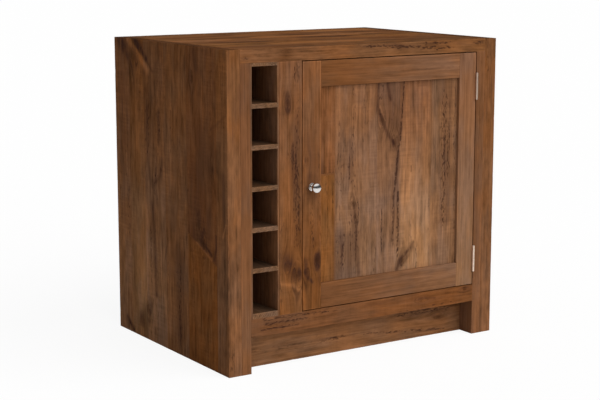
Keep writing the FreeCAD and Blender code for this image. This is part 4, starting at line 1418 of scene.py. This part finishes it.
@dataclass
class Door:
    """The framed door with its glued-up panel."""

    tenon: float = 40 * MM

    def build(self) -> None:
        """Builds the frame and the panel."""
        self.closing_stile()
        pine = replace(RUSTIC, low_tone=stain(139, 103, 76), high_tone=stain(131, 91, 65), seed=0.66,
                       streaks=0.25, specks=0.15, sawn=0.15, lively=0.6)
        hung = "door_right_stile"
        Board(hung, pine, *corners(hung), rebates=leaf_recesses("door", 1)).build()
        rails = (("door_top_rail", 0.36, stain(113, 73, 44), stain(128, 89, 63)),
                 ("door_bottom_rail", 0.78, stain(119, 76, 45), stain(131, 94, 69)))
        for node, seed, low_tone, high_tone in rails:
            pine = replace(RUSTIC, grain=Axis.X, low_tone=low_tone, high_tone=high_tone, seed=seed,
                           streaks=0.3, specks=0.15, **PLAIN)
            Board(node, pine, *between_shoulders(node, Axis.X, self.tenon)).build()
        self.panel()

    @staticmethod
    def closing_stile() -> None:
        """Builds the stile with the knob, dark round its knots, with a painted highlight along its inner
        arris.
        """
        knots = (Knot(0.288, -0.168, 0.013, 1.1), Knot(0.258, -0.204, 0.010, 0.8),
                 Knot(0.566, -0.204, 0.007, 0.35))
        # worn here sets a stronger painted highlight along the arrises.
        pine = replace(RUSTIC, low_tone=stain(117, 73, 39), high_tone=stain(123, 81, 52), seed=0.29,
                       streaks=0.55, worn=0.3, knots=knots)
        splits = (Split(0.330, 0.430, -0.184, spread=9 * MM, count=14, soil=0.4, seed=31),)
        flames = drawn((((623, -200), (547, -175)), 26, 0.35), (((303, -166), (266, -168)), 9, 1.4),
                       (((290, -207), (245, -203)), 8, 1.1), (((520, -185), (470, -180)), 20, 0.5),
                       (((825, -158), (160, -158)), 2, -0.6),
                       (((262, -213), (240, -195), (229, -186)), 5, 1.1),
                       (((438, -193), (345, -170)), 7, -0.35))
        node = "door_left_stile"
        Board(node, pine, *corners(node), splits=splits, flames=flames).build()

    def panel(self) -> None:
        """Builds the panel of five planks, with the long split through it."""
        planks = (Plank(-9.0, stain(126, 82, 52), stain(126, 82, 52), 0.520, stain(126, 81, 44), 0.9),
                  Plank(-0.105, stain(132, 99, 76), stain(130, 90, 63), soft=8 * MM),
                  Plank(0.036, stain(130, 97, 75), stain(119, 83, 60), soft=10 * MM),
                  Plank(0.114, stain(158, 117, 84), stain(125, 84, 58), soft=26 * MM),
                  Plank(0.225, stain(132, 96, 70), stain(126, 90, 64), soft=16 * MM))
        knots = (Knot(0.658, 0.052, 0.012, 0.75), Knot(0.590, 0.098, 0.012, 0.4),
                 Knot(0.432, -0.045, 0.007, 0.8), Knot(0.248, 0.128, 0.011, 0.95),
                 Knot(0.395, -0.036, 0.005, 0.6))
        splits = (Split(0.590, 0.770, 0.122, lean=0.07, spread=2 * MM, count=44, width=2.0 * MM, seed=41),
                  Split(0.430, 0.575, 0.102, lean=0.10, spread=3 * MM, count=40, width=2.0 * MM, seed=42),
                  Split(0.300, 0.450, 0.093, spread=3 * MM, count=26, seed=43),
                  Split(0.260, 0.450, 0.110, spread=3 * MM, count=44, width=1.8 * MM, seed=44),
                  Split(0.290, 0.410, 0.054, spread=3 * MM, count=16, seed=45),
                  Split(0.340, 0.720, 0.271, spread=9 * MM, count=84, width=1.3 * MM, seed=46),
                  Split(0.480, 0.640, 0.288, spread=5 * MM, count=24, seed=47),
                  Split(0.290, 0.440, -0.034, lean=0.05, spread=7 * MM, count=34, seed=48),
                  Split(0.250, 0.340, -0.078, spread=5 * MM, count=14, seed=49),
                  Split(0.500, 0.560, -0.056, spread=4 * MM, count=10, seed=50))
        pine = replace(RUSTIC, low_tone=stain(125, 80, 44), high_tone=stain(126, 82, 52), seed=0.05,
                       streaks=0.75, specks=0.6, sawn=0.8, lively=1.2, knots=knots, planks=planks)
        Board("door_panel", pine, *corners("door_panel"), splits=splits, flames=self.panel_figure(),
              name="door_panel_planks").build()

    @staticmethod
    def panel_figure() -> tuple[Flame, ...]:
        """Draws the figure of the panel.

        Returns:
            Its flames.
        """
        # Dark streaks at the lower left.
        left = drawn((((607, -55), (551, -48), (496, -55)), 7, 0.45), (((345, -88), (237, -92)), 20, 0.75),
                     (((340, -52), (235, -58)), 16, 0.65), (((425, -40), (300, -34), (232, -24)), 9, 0.8))
        # The pointed figure at the top, dark inside, with pale lines along its left flank.
        point = drawn((((755, 37), (700, 34), (662, 50), (620, 70), (588, 95)), 7, 1.0),
                      (((756, 70), (712, 80)), 10, 0.85), (((740, 75), (640, 86)), 26, 0.42),
                      (((695, 44), (655, 62)), 3, -0.6), (((640, 55), (600, 92)), 4, -0.5))
        # The dark upper right corner, the stain along the long split, and the knot where it ends.
        split = drawn((((750, 275), (690, 282)), 26, 0.5), (((756, 123), (626, 118), (586, 102)), 7, 0.5),
                      (((520, 155), (505, 155)), 3, 0.6),
                      (((586, 99), (554, 109), (491, 106), (381, 107), (300, 114)), 6, 0.55),
                      (((493, 90), (382, 97), (314, 88)), 5, 0.55),
                      (((228, 108), (250, 116), (285, 158)), 8, 1.2),
                      (((236, 125), (262, 150), (300, 166)), 4, 0.8))
        # The pale plank, and the rough column at the right.
        right = drawn((((320, 175), (520, 150)), 22, -0.35), (((245, 120), (265, 150)), 5, 0.8),
                      (((735, 275), (500, 278), (348, 284)), 15, 0.55), (((490, 292), (350, 280)), 18, 0.45))
        return (*left, *point, *split, *right)


@dataclass
class Hardware:
    """The knob, hinges, screws and catch."""

    rose: float = 11 * MM
    neck: float = 4.6 * MM
    head: float = 14.5 * MM
    head_thickness: float = 22 * MM
    projection: float = 33 * MM
    pin: float = 2 * MM
    pin_cap: float = 2.9 * MM
    screw_head: float = 3.1 * MM
    cross_arm: float = 0.62 * MM
    cross_depth: float = 0.8 * MM
    chrome: Metal = field(default_factory=lambda: Metal((0.76, 0.73, 0.70), 0.17, 0.3, 0.25, Axis.Y))
    nickel: Metal = field(default_factory=lambda: Metal(stain(246, 222, 202), 0.30, 0.3, 0.8))
    zinc: Metal = field(default_factory=lambda: Metal(stain(196, 194, 186), 0.34, 0.6, 0.6))

    def build(self) -> None:
        """Builds the turned pieces and the screws, and finishes what keeps its shape."""
        self.knob()
        nickel = self.nickel.dress("hinge_nickel")
        for place in ("upper", "lower"):
            for leaf in ("frame", "door"):
                coat(f"{place}_hinge_{leaf}_leaf", nickel)
            self.hinge_pin(f"{place}_hinge_pin", nickel)
        zinc = self.zinc.dress("bright_zinc")
        groups = (("hinge_frame_screws", Axis.X, 1, 0), ("hinge_door_screws", Axis.X, -1, 1),
                  ("back_board_screws", Axis.Y, -1, 1), ("strike_plate_screws", Axis.Y, -1, 1),
                  ("catch_screws", Axis.Z, 1, 0))
        for node, axis, way, start in groups:
            self.screws(node, axis, way, start, zinc)
        for node in ("knob_screw", "catch_strike_plate"):
            coat(node, zinc)
        coat("catch_housing", Moulded(stain(96, 66, 46), 0.45, 0.5).dress("catch_plastic"))
        coat("catch_magnet", Moulded(stain(70, 70, 74), 0.6, 0.8).dress("catch_ferrite"))
        coat("door_bumpers", Moulded(stain(214, 212, 206), 0.4, 0.3).dress("soft_buffer"))

    def knob(self) -> None:
        """Turns the knob: a stepped rose, a waisted neck and a ball."""
        low, high = corners("door_knob")
        middle = (low + high) / 2
        half, ball = self.head_thickness / 2, self.projection - self.head_thickness / 2
        rim, curve, step, cove = 0.9 * MM, 1.3 * MM, 2.8 * MM, 6.4 * MM
        foot = self.rose - step
        outline = [(0.0, 0.0), (self.rose, 0.0), (self.rose, rim),
                   *arc((self.rose - curve, rim), (curve, curve), 0, 90, 6),
                   (self.rose - 2 * curve, rim + curve), (foot, step),
                   *arc((foot, step + cove), (foot - self.neck, cove), 270, 180, 10),
                   *arc((0.0, ball), (self.head, half), -68, 90, 26)]
        piece = turned("door_knob_chrome", outline, (middle[0], high[1], middle[2]), Axis.Y, -1, 96)
        settle(piece, "door_knob", self.chrome.dress("knob_chrome"))

    def hinge_pin(self, node: str, material: bpy.types.Material) -> None:
        """Turns a hinge pin with a domed cap at each end."""
        low, high = corners(node)
        middle = (low + high) / 2
        half, cap = float(high[2] - low[2]) / 2, 1.1 * MM
        outline = [*arc((0.0, -half), (self.pin_cap, cap), -90, 0, 7), (self.pin, -half + 0.05 * MM),
                   (self.pin, half - 0.05 * MM), *arc((0.0, half), (self.pin_cap, cap), 0, 90, 7)]
        settle(turned(f"{node}_capped", outline, middle, Axis.Z, around=40), node, material)

    def screws(self, node: str, axis: Axis, way: int, start: int, material: bpy.types.Material) -> None:
        """Makes countersunk screws with a cross in the head, one for each solid of the node.

        A head is a disc over radius and angle that sinks along the axis where the point lies on an arm of the
        cross, and narrows to the shank below.

        Args:
            node: The node of the group.
            axis: The axis that the screws are driven along.
            way: 1 with the axis, -1 against it.
            start: 0 if the heads lie at the node's low side, 1 at its high side.
            material: Their finish.
        """
        places = self.screw_places(node, axis)
        low, high = corners(node)
        head_at = (low, high)[start][axis.value]
        length = float(high[axis.value] - low[axis.value])
        radius = np.array([0.0, 0.25, 0.5, 0.72, 0.94, 1.0, 0.97, 0.50, 0.49, 0.30, 0.0]) * self.screw_head
        height = np.array([0.25, 0.25, 0.22, 0.14, 0.05, 0.12, 0.2, 1.4, length / MM - 3.5, length / MM - 1.2,
                           length / MM - 0.2]) * MM
        angle = np.linspace(0, 2 * math.pi, 24, endpoint=False)
        first, second = radius[:, None] * np.cos(angle), radius[:, None] * np.sin(angle)
        arm = np.minimum(np.abs(first), np.abs(second)) < self.cross_arm
        crossed = arm & (np.arange(len(radius)) < 4)[:, None]
        sunk = height[:, None] + np.where(crossed, self.cross_depth, 0.0)
        points = np.empty((len(places), *first.shape, 3))
        points[..., axis.value] = head_at + way * sunk
        points[..., axis.others] = places[:, None, None, :] + np.stack([first, second], -1)
        faces = ring_faces(points.shape[:-1])
        piece = new_piece(f"{node}_crosshead", points.reshape(-1, 3), faces, sharp=35.0)
        settle(piece, node, material)

    @staticmethod
    def screw_places(node: str, axis: Axis) -> np.ndarray:
        """Finds the middle of each screw of a node from the outlines of its solids.

        Seen along the screws' axis, a gap of over 4 mm between points, up or across, parts one screw from
        the next.

        Args:
            node: The node of the group.
            axis: The axis that the screws are driven along.

        Returns:
            The middles in the two other axes.
        """
        mesh = frame["nodes"][node].data
        points = np.empty(len(mesh.vertices) * 3)
        mesh.vertices.foreach_get("co", points)
        flat = np.delete(points.reshape(-1, 3), axis.value, axis=1)
        rows = np.empty(flat.shape, int)
        for side in range(2):
            order = np.argsort(flat[:, side])
            rows[order, side] = np.cumsum(np.diff(flat[order, side], prepend=-1.0) > 4 * MM)
        _, owner = np.unique(rows, axis=0, return_inverse=True)
        groups = [flat[owner.ravel() == number] for number in range(owner.max() + 1)]
        return np.array([(group.min(0) + group.max(0)) / 2 for group in groups])


@dataclass
class Studio:
    """The floor, the light and the camera."""

    camera_at: tuple[float, float, float] = (-2.35508, -3.58225, 1.14555)
    yaw: float = 33.0464
    pitch: float = 9.9554
    focal_pixels: float = 1475.25
    image_width: float = 600.0
    sensor: float = 36.0
    far_clip: float = 500.0
    floor_half: float = 120.0
    floor_grey: float = 0.86
    floor_glow: float = 1.05
    floor_whitened: float = 0.86
    sky: float = 0.30
    far_wall: float = 0.06
    wall_top: tuple[float, float] = (0.42, 0.82)
    floor_fade: tuple[float, float] = (4.8, 7.5)
    sun: float = 2.47
    towards_sun: tuple[float, float, float] = (0.28, -0.58, 0.45)
    sun_spread: float = 75.0

    def build(self) -> None:
        """Sets up the whole stage."""
        self.floor()
        self.lights()
        self.camera()
        bpy.context.scene.view_settings.view_transform = "Standard"

    @staticmethod
    def rays(tree: Recipe, *kinds: str) -> list[Sock]:
        """One for each kind of ray where it is that kind which meets the surface, and zero elsewhere."""
        path = tree.make("ShaderNodeLightPath")
        return [Sock(tree, path.outputs[f"Is {kind} Ray"]) for kind in kinds]

    def floor(self) -> None:
        """Lays a pale floor that shows white but keeps the object's shadow; mirrored, it is dark far off."""
        half = self.floor_half
        mesh = bpy.data.meshes.new("studio_floor")
        square = [(-half, -half, 0), (half, -half, 0), (half, half, 0), (-half, half, 0)]
        mesh.from_pydata(square, [], [(0, 1, 2, 3)])
        floor = bpy.data.objects.new("studio_floor", mesh)
        bpy.context.scene.collection.objects.link(floor)
        tree = Recipe("studio_floor")
        matt = tree.add("ShaderNodeBsdfDiffuse", inputs={"Color": (self.floor_grey,) * 3})
        x, y, _ = tree.coordinates()
        far = (x * x + y * y).root().rise(*self.floor_fade)
        camera, glossy, through = self.rays(tree, "Camera", "Glossy", "Transmission")
        pale = tree.blend(glossy * far, (1.0, 1.0, 1.0), (self.far_wall,) * 3)
        white = tree.add("ShaderNodeEmission", inputs={"Color": pale, "Strength": self.floor_glow})
        whitened = camera.greater(glossy).greater(through) * self.floor_whitened
        shown = tree.add("ShaderNodeMixShader", inputs={0: whitened, 1: matt, 2: white})
        tree.make("ShaderNodeOutputMaterial", inputs={0: shown})
        mesh.materials.append(tree.owner)

    def lights(self) -> None:
        """Lights the stage: a broad lamp at the front right, and a sky that is dark below when mirrored."""
        tree = Recipe("studio_sky", bpy.data.worlds)
        bpy.context.scene.world = tree.owner
        wall = tree.parts("Generated")[Axis.Z.value].rise(*self.wall_top, self.far_wall, 1.0)
        camera, glossy = self.rays(tree, "Camera", "Glossy")
        strength = self.sky + glossy * (wall - self.sky)
        strength = strength + camera * (1 - strength)
        sky = tree.add("ShaderNodeBackground", inputs={"Color": (1.0, 1.0, 1.0), "Strength": strength})
        tree.make("ShaderNodeOutputWorld", inputs={0: sky})
        lamp = bpy.data.lights.new("studio_lamp", "SUN")
        lamp.energy = self.sun
        lamp.angle = math.radians(self.sun_spread)
        holder = bpy.data.objects.new("studio_lamp", lamp)
        x, y, z = self.towards_sun
        holder.rotation_euler = (math.atan2(math.hypot(x, y), z), 0.0, math.atan2(x, -y))
        holder.visible_glossy = False
        bpy.context.scene.collection.objects.link(holder)

    def camera(self) -> None:
        """Stands the camera where the photograph was taken."""
        lens = bpy.data.cameras.new("studio_camera")
        lens.sensor_fit = "HORIZONTAL"
        lens.sensor_width = self.sensor
        lens.lens = self.focal_pixels / self.image_width * self.sensor
        lens.clip_end = self.far_clip
        camera = bpy.data.objects.new("studio_camera", lens)
        camera.location = self.camera_at
        camera.rotation_euler = (math.radians(90 - self.pitch), 0.0, math.radians(-self.yaw))
        bpy.context.scene.collection.objects.link(camera)
        bpy.context.scene.camera = camera


def main() -> None:
    """Builds the classes in order."""
    logging.basicConfig(level=logging.INFO, format="%(name)s: %(message)s")
    Carcass().build()
    Door().build()
    Inside().dress()
    Hardware().build()
    Studio().build()


if __name__ == "__main__":
    main()
